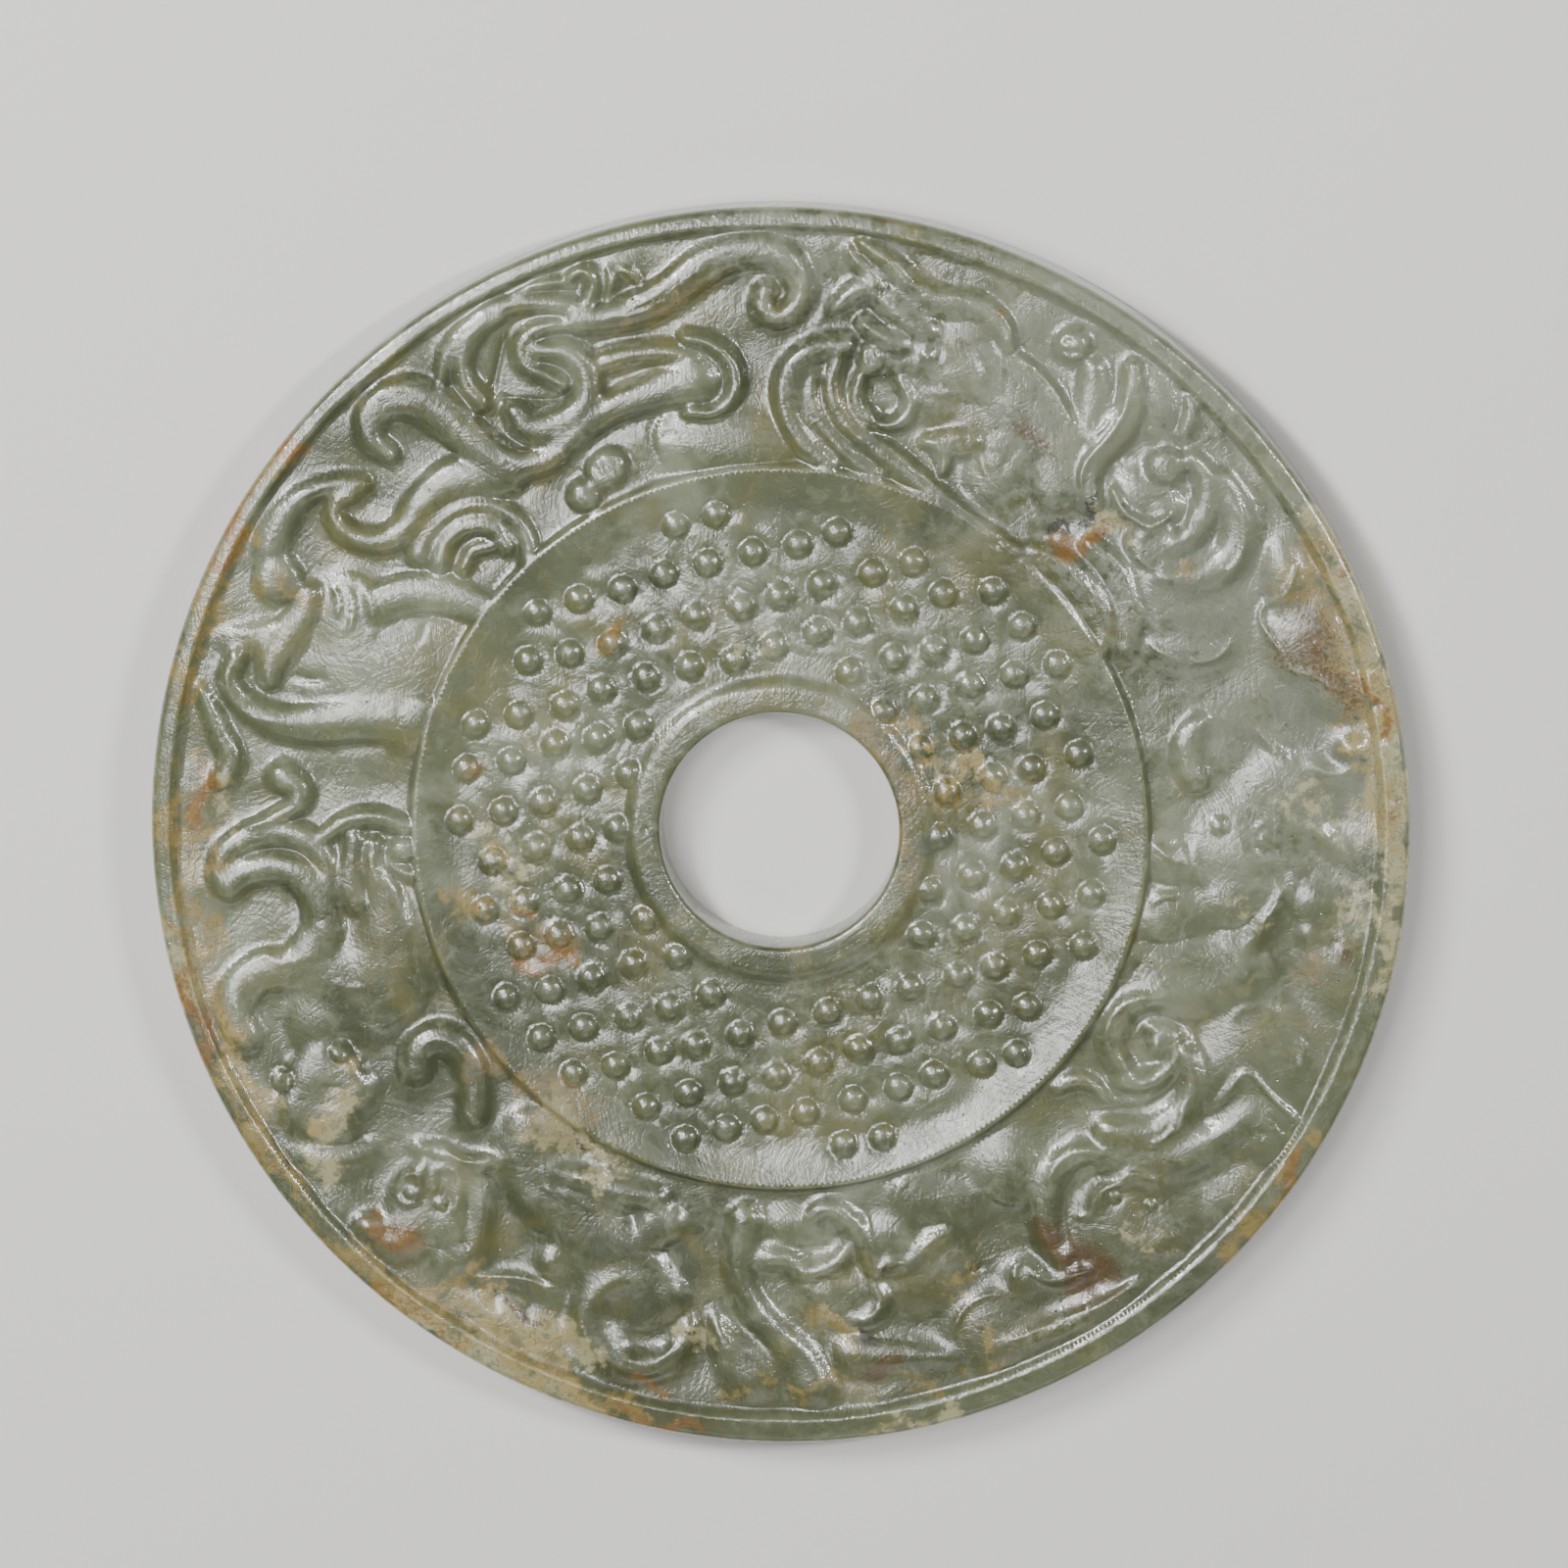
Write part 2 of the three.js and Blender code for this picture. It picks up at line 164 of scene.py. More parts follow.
leftDragon = {
    "bands": [
        ((5.6, 6, 5.6, 5), 1.3, (-61, 35.4), (-57, 36.8), (-51, 37), (-45, 35)),
        ((3.4, 4.6, 5.6, 5, 3), 1.5, (-71.4, 37.4), (-72.6, 34), (-75, 30.2), (-77.3, 26.8), (-77.6, 24)),
        ((7.4, 7, 6.6, 5.6, 4.2, 3.4, 3), 1.6, (-57, 18), (-64, 18), (-70, 17.2), (-76, 17.4), (-81, 20),
         (-83.6, 24), (-82.6, 27.6)),
        ((2, 3, 3.6, 3), 1.4, (-88, 22.6), (-86.6, 19.4), (-85.2, 15.6), (-83.6, 11.6), (-85.2, 8.4)),
        ((4.6, 4, 3, 2, 0.8), 1.7, (-75.8, 9), (-73.2, 7), (-74, 4.4), (-77, 2.8), (-82, 1)),
        ((3.6, 4.4, 4, 3.4), 1.4, (-85.6, -6.6), (-84.8, -3.2), (-81.4, -0.6), (-76.4, 0.3), (-72, -1),
         (-69.4, -4.4), (-68.6, -10)),
        ((4.6, 5, 5, 5, 5.6), 1.6, (-84.2, -8), (-81.6, -6), (-77, -5.2), (-73, -6.6), (-70.4, -10.4),
         (-69.6, -15)),
        ((6, 6.4, 6, 5), 1.5, (-70.6, -16.6), (-74.4, -20.8), (-79.6, -21.6), (-83, -25), (-83.4, -28.6),
         (-82, -31.4)),
        ((2.6, 3.4, 3), 1.4, (-69.4, -0.2), (-66, 2), (-61.6, 2.6), (-57.2, 1.2)),
        ((3.8, 4.2, 3.8), 1.5, (-64.9, -1), (-65.4, -5), (-65.4, -8.6), (-64.8, -10.8)),
        ((3, 4, 5.4, 8), 1.6, (-61.9, -1.6), (-61.9, -5), (-60.4, -9.4), (-60, -15)),
        ((1.6, 2, 2.4), 1.3, (-59.6, -2), (-59, -4.8), (-56.4, -6.4)),
    ],
    "mounds": [
        (-76, 39.4, 3.9, 3.7, 0, 1.5), (-54.6, 18.4, 3, 3.6, 0, 1.5), (-57.4, -2.3, 2.1, 2.1, 0, 1.8),
        (-70.2, -40.6, 8.4, 6.4, 75, 1.35),
    ],
    "swells": [
        (-60.5, 25.6, 11, 8, 10, 1.5), (-65, 32, 7, 5, 90, 1.4), (-56.4, 15.6, 3.2, 2.8, 0, 1.6),
        (-78, 30.5, 6, 2.4, 5, 1.1), (-60.6, -20.6, 10, 6.4, 75, 1.6), (-69, -22, 5, 6, 60, 1.5),
        (-71, -29, 5, 3.6, 90, 1.3), (-68.4, -44.6, 4.2, 3.4, 80, 1.9), (-71.6, -38.4, 3.6, 3.6, 0, 1.8),
        (-68.6, -50.4, 5.4, 2.6, 0, 1.1), (-64.6, -40.4, 2.4, 3, 0, 1.6), (-74.4, -43, 2.4, 2.6, 0, 1.55),
    ],
    "eyes": [(-67.2, -33.9, 2.4), (-76.4, -38.6, 2.4)],
    "crests": [
        (0.26, (-68.1, 38.5), (-66.9, 36.6), (-67.2, 33.4)),
        (0.26, (-66, 38.6), (-64.7, 36), (-65.1, 32.4), (-66.2, 31)),
        (0.26, (-63.6, 38.7), (-62, 36), (-61.8, 31.8), (-62.6, 29.6)),
        (0.2, (-71.4, 38.7), (-68, 39.6), (-64.4, 39.6), (-61.6, 38.2), (-58, 39.6), (-52, 40.2),
         (-47, 39.4), (-43.6, 37.6)),
        (0.2, (-84.1, 27), (-84.2, 24), (-82.9, 20.4), (-79.3, 18), (-74, 18)),
        (0.22, (-86, 21), (-84, 17.6), (-82.5, 14), (-82.4, 11.2)),
        (0.2, (-87.2, 30.2), (-84, 31.4), (-79.4, 31.7), (-75.4, 34), (-72.4, 37.6)),
        (0.14, (-81.6, 25.6), (-80.4, 22.8), (-77.6, 21.2), (-73, 20.8), (-70.2, 21.8)),
        (0.2, (-54.6, -20.8), (-54.2, -24.6), (-56.6, -28), (-61, -30.4), (-66.6, -29.6)),
        (0.2, (-67.9, -22.8), (-66, -24), (-63.3, -23.8)),
        (0.18, (-79.6, -18), (-77, -19.6), (-74, -19.6), (-71.4, -18)),
        (0.16, (-62.6, -2.6), (-61.8, -6), (-60.2, -8.6)),
        (0.16, (-68, 1.2), (-65.4, 2.6), (-61, 3.1), (-57.2, 2)),
        (0.2, (-71.8, -52), (-68.6, -53.6), (-65, -53.6), (-62.4, -51.6)),
        (0.14, (-86.6, -8.4), (-84.3, -10.4), (-81.8, -9.8)),
        (0.18, (-83.6, -24.6), (-83, -27), (-82.4, -29.6)),
    ],
    "grooves": [
        (0.24, (-60, 32.6), (-55.6, 34), (-51, 33.5), (-47.4, 32)),
        (0.2, (-53.4, 33.2), (-54.4, 30.6), (-56.4, 28.8)), (0.2, (-64.4, -35.8), (-63.2, -37.6)),
        (0.2, (-69.8, -39.2), (-67.6, -39.7)), (0.2, (-67, -41.6), (-66.2, -43)),
        (0.2, (-57, -16), (-55.8, -20), (-56.4, -25)), (0.2, (-81, -24), (-81.4, -27), (-80.4, -29.6)),
        (0.22, (-66.8, -11.2), (-64.8, -12.4), (-62.6, -11)),
        (0.2, (-82, 26), (-81.4, 23.6), (-79, 21.9)),
    ],
    "cuts": [
        (0.5, 0.9, (-74.6, 24.6), (-72, 23.8), (-68.4, 24)),
        (0.5, 1.0, (-62.8, -45.6), (-65, -48.2), (-68.4, -48.8), (-72, -47.8), (-75.4, -45)),
        (0.35, 1.0, (-70.6, 34), (-72.2, 31), (-74.4, 28), (-75.4, 25)),
    ],
}

lowerLeftDragon = {
    "soft": 2.0,
    "bands": [
        ((6, 8, 9, 8, 6), 1.2, (-39, -46), (-38.6, -52), (-36, -57), (-30, -61.4), (-22, -67),
         (-17, -73)),
        ((4, 4.6, 5, 4), 1.3, (-35.6, -52.6), (-30, -54.6), (-24, -56.4), (-18.6, -57.2)),
        ((3.4, 4.2, 4.4, 4.4, 4, 3), 1.5, (-21.6, -70.2), (-26, -70.6), (-29.4, -73.8), (-29.4, -78.4),
         (-26, -82.2), (-20.8, -83.7), (-16, -82), (-13.6, -77.6)),
        ((1.6, 2.4, 2), 1.3, (-25.4, -71.4), (-27.2, -74), (-27, -77.4), (-24.6, -80)),
        ((5.2, 5.6, 5, 4.6), 1.7, (-55.6, -36.8), (-55.2, -33.8), (-52.6, -32.2), (-49.4, -33.2),
         (-47.2, -36.6), (-46.6, -41), (-46.8, -44)),
        ((1.4, 2.6, 3, 3), 1.4, (-56, -49), (-52, -50), (-48, -51.8), (-44.4, -51.4)),
        ((2.4, 3.4, 4, 4.6), 1.2, (-46.6, -52.8), (-45.6, -56), (-45.6, -60), (-46.4, -64),
         (-48.6, -66.4)),
        ((0.8, 2, 2, 1.2), 1.2, (-48, -70), (-43, -70), (-39, -70.4), (-36.2, -71.8), (-34, -74)),
    ],
    "mounds": [
        (-53.6, -58.2, 8.4, 6.8, 65, 1.1), (-63.2, -61.6, 2.6, 2.2, 0, 1.5),
        (-35.2, -67, 2.4, 2.2, 0, 1.2), (-18, -61.6, 4.6, 3.6, 0, 1.2),
    ],
    "swells": [
        (-57.4, -62.4, 5, 3.6, 30, 1.6), (-50.6, -62.4, 3.6, 4, 0, 1.6), (-38.6, -49.4, 5, 5, 0, 1.3),
        (-27, -66, 12, 5, -42, 1.2), (-49.6, -67, 4, 2.4, 0, 1.3), (-55, -52.6, 2.6, 1.2, 70, 1.7),
        (-42, -76, 6, 2, -25, 0.5),
    ],
    "eyes": [(-56.6, -56.3, 1.5), (-52, -57.8, 1.5)],
    "crests": [
        (0.22, (-59.4, -56.2), (-58, -53.8), (-55.8, -53.2), (-55.2, -55), (-56, -57.6), (-58, -57.6),
         (-59.4, -56.2)),
        (0.2, (-53.4, -58.8), (-53, -55.6), (-52.6, -52.4), (-49.2, -53.4), (-49.6, -58.6), (-52, -59.6)),
        (0.22, (-55.6, -51.4), (-54.4, -49.4), (-52, -48.8), (-48.6, -51), (-44.6, -51.2)),
        (0.2, (-31.6, -53.8), (-28.6, -53.6), (-25.4, -52)),
        (0.24, (-36.4, -53.6), (-35.2, -55.6), (-31.2, -57), (-27, -59.6)),
        (0.16, (-55.4, -35.4), (-54.6, -33), (-52.4, -31.9), (-49.4, -32.8), (-47, -36)),
        (0.2, (-49, -42.4), (-47.6, -45), (-45, -45)),
        (0.2, (-48.2, -69.8), (-42, -69.7), (-37.6, -70.4), (-34.6, -73)),
        (0.16, (-31, -73), (-30.4, -77.4), (-28, -81), (-24, -84), (-19.6, -85), (-15.6, -83.2)),
        (0.16, (-27, -80.4), (-22.6, -82.6), (-18, -82.2), (-14.8, -79.6)),
    ],
    "grooves": [
        (0.2, (-16.2, -80.6), (-19.6, -82.6), (-24.2, -82)),
        (0.16, (-14.6, -75), (-19.4, -69.6), (-26, -64)),
        (0.24, (-27, -60.6), (-23.6, -60.4), (-20.6, -59), (-19.2, -60.6)),
        (0.22, (-47.6, -54), (-47.8, -58.6), (-49, -62)),
        (0.22, (-58, -65.8), (-54, -64.6), (-50.4, -66)),
        (0.2, (-38.6, -61.8), (-36.6, -63), (-34.6, -62.4)), (0.2, (-49, -63.6), (-47.4, -65)),
        (0.2, (-36.6, -66.6), (-34.4, -66.4)), (0.2, (-22, -64.6), (-19, -65.6), (-15, -65)),
    ],
}

lowerLimbs = {
    "soft": 1.6,
    "bands": [
        ((5.4, 4.4, 3.6, 4, 5.4, 6), 1.5, (-5, -60.8), (-6, -66), (-5.4, -71), (-2.6, -76), (1.4, -80.4),
         (4.6, -84.6), (5.6, -87)),
        ((1, 3.4, 6.4, 7.6), 1.4, (-10, -75.6), (-8.4, -79.6), (-5.6, -83.4), (-3.8, -85)),
        ((2.6, 3.4, 2.8), 1.4, (-2.6, -67.4), (0.4, -66.8), (3.4, -68)),
        ((2.6, 3.4, 3, 1.6), 1.6, (3.6, -69.2), (6.8, -68.4), (9.6, -66.8), (10.8, -64.6)),
        ((2.6, 3.4, 4, 3, 2), 1.4, (5.4, -60.4), (7, -58.8), (10.4, -60), (13, -64.4), (14.8, -69.2)),
        ((2, 2.6, 2.6, 1.6), 1.3, (15, -71), (16.4, -73.4), (14, -76.4), (10.6, -77)),
        ((1.6, 2.4, 1.8), 1.2, (3.4, -70), (5.2, -72.2), (8.6, -72)),
        ((5.6, 5.4, 4.4, 2.6), 1.2, (11.4, -82), (16, -82), (21, -82), (26.6, -82.4)),
        ((4.6, 4, 3, 1.4), 1.4, (35, -80.4), (41, -78.6), (47, -76), (56, -70.4)),
        ((1.4, 2.2, 1.8), 1.3, (15, -69.4), (16.6, -67.8), (19.8, -67.8)),
        ((1.4, 3, 3, 1.4), 1.3, (20.4, -67.4), (22.2, -65.2), (24.4, -63.6), (26.6, -62.4)),
    ],
    "mounds": [],
    "swells": [
        (35.6, -53, 4.8, 4.6, 0, 1.2), (20.6, -57, 3.4, 3.4, 0, 0.9), (38, -70.2, 3, 2.8, 0, 1.3),
        (32.6, -77.6, 6.2, 5.6, 30, 1.6), (-0.6, -66.4, 3, 1.8, 0, 1.7), (26.4, -58, 5, 3, 0, 0.9),
        (24, -70, 5, 4, 30, 0.9), (17, -64, 4, 3.4, 40, 1.0), (-4, -85, 3.8, 3.6, 0, 1.7),
        (1.6, -61.6, 4.4, 2.4, 0, 0.8), (10, -73, 5, 4, 0, 0.8),
    ],
    "crests": [
        (0.2, (-7.6, -60.6), (-6, -58.8), (-3, -57.8)),
        (0.22, (27.4, -79.4), (27.6, -76.6), (29.3, -74), (32.2, -72.5), (36, -71.8)),
        (0.2, (17.8, -57.8), (18.6, -55.4), (20.4, -54.2)),
        (0.2, (31.8, -55.3), (33.4, -57), (36, -57.8), (38.8, -57.4)),
        (0.2, (33.4, -80.4), (38, -78.6), (44, -76), (50, -73.6), (57, -69)),
        (0.2, (12, -76.8), (14.6, -75.6), (16, -73.6)), (0.2, (15.4, -69), (16.8, -67.3), (19.8, -67.3)),
        (0.14, (-8, -65), (-7.4, -70), (-5, -75), (-1, -80), (2, -85)),
        (0.18, (36.4, -70.4), (36.6, -68), (38.8, -66.6)), (0.14, (4.4, -61.6), (4.6, -59.4), (6.6, -58)),
    ],
    "grooves": [
        (0.26, (9.6, -61), (11.4, -64), (13.4, -68)), (0.26, (11, -60), (13, -63.4), (14.6, -67.4)),
        (0.24, (10.7, -58.3), (12.3, -60)), (0.26, (20.6, -66.6), (22, -64), (24, -63)),
        (0.26, (22, -66.8), (24.4, -63.8), (26.4, -62.8)), (0.24, (-1.4, -65), (3, -64.8), (7, -65)),
        (0.2, (29, -69), (31, -68.5), (32, -67)), (0.24, (1.6, -70), (4, -70.6), (9.6, -69.4)),
        (0.2, (12, -79.4), (18, -79.6), (25, -80.8)), (0.2, (44, -75.2), (50, -72.4), (56.6, -68)),
    ],
}

lowerRightDragon = {
    "soft": 1.6,
    "bands": [
        ((3, 5, 6.4, 6, 3), 1.3, (46, -49.6), (53, -51), (60, -51.4), (66.4, -48.6), (72, -43.6)),
        ((3.4, 4.4, 5, 5, 4.4), 1.4, (63, -35), (63.6, -39.6), (61.6, -44), (57, -47), (50.6, -46.6)),
        ((3, 4.2, 4.6, 4, 3.4), 1.5, (58.4, -25.6), (54, -26.6), (51.4, -29.6), (51, -33.6), (53, -37)),
        ((2.4, 3.4, 3, 2.4, 1.6), 1.5, (52.6, -38.8), (57.4, -38.6), (60.6, -35.4), (60.4, -31.6),
         (56.6, -30.2)),
        ((2, 2.4, 2, 1.6), 1.3, (42.6, -40), (45.6, -38.6), (48.6, -39.4), (50.4, -41.6)),
        ((3.6, 4.4, 4.4, 4.4, 3.6), 1.4, (47, -49.8), (43, -52.4), (41, -57), (41.4, -62.4), (44, -67.4)),
        ((1.6, 2.4, 2.4, 1.4), 1.6, (48.8, -58.6), (49.8, -56), (53.8, -53.8), (59.4, -55.2)),
        ((1.6, 2.6, 2.2), 1.3, (39, -68), (42.6, -70), (47.6, -68.8)),
    ],
    "mounds": [(57.9, -32.9, 1.7, 1.7, 0, 1.7)],
    "swells": [
        (73.6, -34.4, 8, 6.2, 100, 1.3), (54.4, -60.4, 8, 6.6, 50, 1.2), (61, -24.4, 7, 3.4, -6, 1.2),
        (58.4, -63.4, 3.6, 3, 30, 1.5), (51.6, -62.8, 3, 2.6, 0, 1.4), (70, -22, 4, 5, 20, 1.1),
        (68, -38, 5, 4, 60, 1.0), (74, -45.4, 6, 4.4, -40, 1.3), (52.6, -20.6, 3.4, 1.6, 60, 0.9),
    ],
    "eyes": [(51.6, -56.9, 1.4), (57.3, -58, 1.2)],
    "crests": [
        (0.3, (65, -44.4), (68.2, -41), (71.7, -37.2), (75.6, -41), (79.8, -45.4), (78.8, -48.4),
         (77.1, -50.6)),
        (0.24, (62.4, -42), (61.4, -45.2), (59, -47.6), (56.2, -48.8)),
        (0.2, (58, -25.2), (53.6, -26), (50.6, -29), (49.8, -33)),
        (0.22, (48.4, -38), (49.7, -41), (52.9, -42.2), (56.6, -41.2), (58.4, -39.6)),
        (0.2, (50.2, -37.2), (51.7, -38.9), (54.7, -40), (57.5, -39)),
        (0.2, (42.6, -38.9), (45, -37.6), (48.2, -38)),
        (0.18, (54.2, -33.8), (54.9, -31), (58.4, -29.6), (62, -31), (64.6, -34.2)),
        (0.22, (41.2, -55), (43.2, -50.8), (47, -48.7)), (0.2, (45.6, -55.4), (47.4, -53.2), (51, -52.6)),
        (0.2, (45, -60.2), (47.6, -59.6), (48.7, -56.8), (50, -54.8)),
        (0.26, (49, -57.8), (49.9, -55.7), (52.3, -54.6), (54.2, -53), (56.8, -53.6), (59.4, -55)),
        (0.2, (60.2, -65.2), (62.6, -66.4)),
        (0.24, (38.6, -67.2), (39.8, -69.4), (42.8, -70), (47.4, -68.7)),
        (0.22, (79.4, -31.6), (80.1, -34), (80, -37)),
        (0.16, (69, -30), (70.5, -27.6), (73.6, -27), (77, -28.8)),
    ],
    "grooves": [
        (0.24, (50.6, -25), (52.4, -22), (54.6, -19)), (0.24, (51.4, -25.2), (53.8, -22), (56, -19.2)),
        (0.22, (73.4, -45.4), (71, -48.6), (66, -52)), (0.2, (72.4, -44.6), (69.4, -48), (65.4, -50.6)),
        (0.24, (73.4, -46), (74.6, -47.4)), (0.2, (53.6, -66.4), (56.4, -67), (58.8, -66.6)),
        (0.22, (55, -35.6), (57.2, -36), (59.4, -34.8)), (0.2, (74, -43), (77.6, -46.6), (77, -49)),
        (0.2, (60.4, -61), (61.4, -62.6)), (0.2, (44, -42.4), (49, -43.6), (54.6, -43.8)),
    ],
}

rightDragon = {
    "soft": 2.2,
    "bands": [
        ((3.4, 4.6, 4.4, 4), 1.3, (63.6, 17), (62, 13.6), (62.4, 10), (63.4, 8.4)),
        ((1, 2, 2, 1), 0.7, (71.6, 17), (75.4, 13.2), (79, 9.2), (82, 4.6)),
        ((1.4, 2.6, 2), 1.1, (80.6, 3), (83, -0.8), (86.6, -3)),
        ((4.4, 5, 5.6, 5.6, 4.6, 3), 1.4, (66.6, 54), (69, 49.6), (69.4, 45), (67.4, 41.4), (63.4, 39.4),
         (57.6, 39.6)),
        ((2, 2.6, 2.4), 1.3, (77, -7.4), (76, -11), (73.8, -14), (72.2, -17.4)),
        ((1.8, 2.6, 2.4, 1.4), 1.1, (80.4, 11), (83.6, 9), (87.6, 10), (89, 14)),
    ],
    "mounds": [(86.6, 13, 2.2, 2.2, 0, 1.5), (80.6, -15.8, 1.8, 1.7, 0, 1.3)],
    "swells": [
        (70, -6, 9, 6.6, 100, 1.2), (81.6, -11, 3, 3.4, 0, 1.1), (59.4, -13, 5, 4, 20, 1.3),
        (60, 36, 7, 9, 20, 1.2), (59.6, -4.4, 4, 2.6, 140, 1.4), (68, -10.6, 3.4, 3, 0, 1.5),
        (71, -3.4, 2.4, 4, 10, 1.5), (80, 29, 6, 5, 140, 1.2), (76.4, 39.4, 2.6, 5, 10, 1.1),
        (84, 22, 4, 3, 140, 1.0), (77, 5, 6, 5, 130, 0.7), (62, -20, 8, 3, 0, 0.9),
        (85, -20, 4, 6, 10, 0.7), (61.4, 28, 6, 2.6, 0, 1.2),
    ],
    "eyes": [(67, 1.2, 2.1), (74.7, -0.8, 2.4)],
    "crests": [
        (0.2, (60.4, 12.4), (60.8, 15.4), (62.2, 17.6)), (0.2, (61.2, 6.8), (64, 6.8), (65.4, 9)),
        (0.2, (56.6, -1.4), (59, -3.2), (61.8, -5)), (0.2, (56.4, -11.4), (58.4, -9.8), (62, -9.6)),
        (0.2, (72.3, -0.4), (73.4, 1.4), (75.4, 1.4), (77, -0.4)),
        (0.26, (77.6, 44.6), (78, 40.6), (76.4, 36.8), (73.6, 35.2), (72.9, 32.6), (75.6, 28.6),
         (77.4, 25.4), (81.6, 24), (85.4, 20.6)),
        (0.24, (55, 30.8), (57, 28.6), (61.4, 26.6), (66, 27), (68.2, 29.2), (68.2, 31.4)),
        (0.2, (68.4, 52), (70.2, 47), (69.6, 42.4), (66.4, 39.2)),
        (0.18, (76.8, -8), (75.6, -11.4), (73, -15)), (0.18, (63.4, -0.8), (63.6, -5), (65, -9)),
        (0.16, (54.4, 44.6), (57, 48), (60, 46.6)),
    ],
    "grooves": [
        (0.22, (63.6, 18.6), (65, 15.8)), (0.2, (69.5, -9.5), (69, -11.5)),
        (0.24, (64.6, -13.4), (67.4, -15), (71, -14.4), (73, -12)), (0.2, (74, 33.4), (77.4, 32.2)),
        (0.2, (74.6, 31.6), (77.6, 30.4)), (0.2, (71.4, 17.6), (75.8, 13.6), (79.6, 9)),
        (0.2, (67.6, -8.4), (68.4, -12)), (0.2, (66, -16.2), (70, -20.6), (70.6, -24)),
        (0.22, (56, -16.6), (60, -17), (64, -15.6)), (0.16, (70.6, 54), (74.4, 50), (76.6, 46)),
        (0.16, (72, 52), (75, 48.4)),
    ],
}

upperRightDragon = {
    "soft": 1.3,
    "bands": [
        ((4, 5, 5.4, 5, 3.4), 1.3, (38, 43), (43, 40.6), (47, 36.4), (49.4, 31), (48, 27)),
        ((3, 4.6, 4.6, 3.4), 1.1, (47, 44.4), (51, 40), (53, 34), (52.6, 28)),
        ((3, 4.4, 5.4, 5, 4, 3.4), 1.7, (53.4, 71.4), (53, 66.4), (51, 62), (48, 58.6), (46.6, 55),
         (47.4, 51)),
        ((4, 5.4, 5, 3), 1.2, (47.4, 71), (47.4, 67), (46.8, 63.6), (45.8, 61)),
        ((1.6, 2.8, 2), 1.2, (61.7, 67), (62, 64), (60.8, 60.8)),
        ((3, 4, 4.4, 4, 3), 1.6, (62.4, 57.6), (64.6, 54), (64.4, 49.6), (62.4, 46), (59.6, 44.6)),
        ((1.4, 2.2, 2, 1.4), 1.4, (50.4, 52.8), (52.4, 49.4), (56.2, 47.8), (58.8, 49)),
    ],
    "mounds": [(44.2, 74.8, 3, 2.8, 0, 1.5), (58.4, 56.4, 3.2, 3, 0, 1.7), (56.6, 44.6, 4.4, 4, 0, 1.2)],
    "swells": [(54, 52, 4, 3, 40, 1.0), (58, 50, 3, 2.4, 0, 1.0), (57, 66, 3, 6, 15, 0.9)],
    "crests": [
        (0.26, (52.6, 70.4), (52.2, 65.6), (49.6, 61), (46.4, 57.4), (45.5, 54), (46.4, 50)),
        (0.16, (36.6, 44.4), (41.6, 42.6), (46, 38.6), (49.2, 32.4)),
        (0.2, (45.9, 60.4), (49, 62.6), (50.4, 66)),
        (0.22, (55.2, 54), (56.4, 52.2), (58.6, 52.8), (60, 54), (61.8, 52.2), (62.3, 49), (61, 45.6)),
        (0.24, (50.7, 52.4), (52.4, 49.2), (56.2, 47.2), (58.8, 48.6), (60, 47)),
        (0.18, (48.2, 44.8), (52, 40.2), (54.2, 34.2), (54.8, 30)),
        (0.2, (53.6, 43), (56.8, 40.8), (60, 42)),
    ],
    "grooves": [
        (0.28, (42.4, 75.8), (44.4, 75.5)), (0.28, (42, 74.5), (44, 73.7), (45.4, 74.3)),
        (0.24, (54.7, 71), (56.2, 66), (57.6, 60.5)), (0.24, (53.8, 69), (55.4, 64.6), (56.4, 60.6)),
        (0.18, (49.6, 56.4), (52.2, 57.8)), (0.18, (48.8, 54.6), (51.6, 55.6)),
        (0.18, (50.4, 58.4), (53, 60.2)), (0.2, (60.5, 68), (60.7, 66), (60, 63), (59.5, 60.8)),
        (0.2, (44.6, 70.6), (45.4, 66), (45.4, 62)), (0.22, (49, 29), (51.4, 27.4), (54, 28.6)),
    ],
}

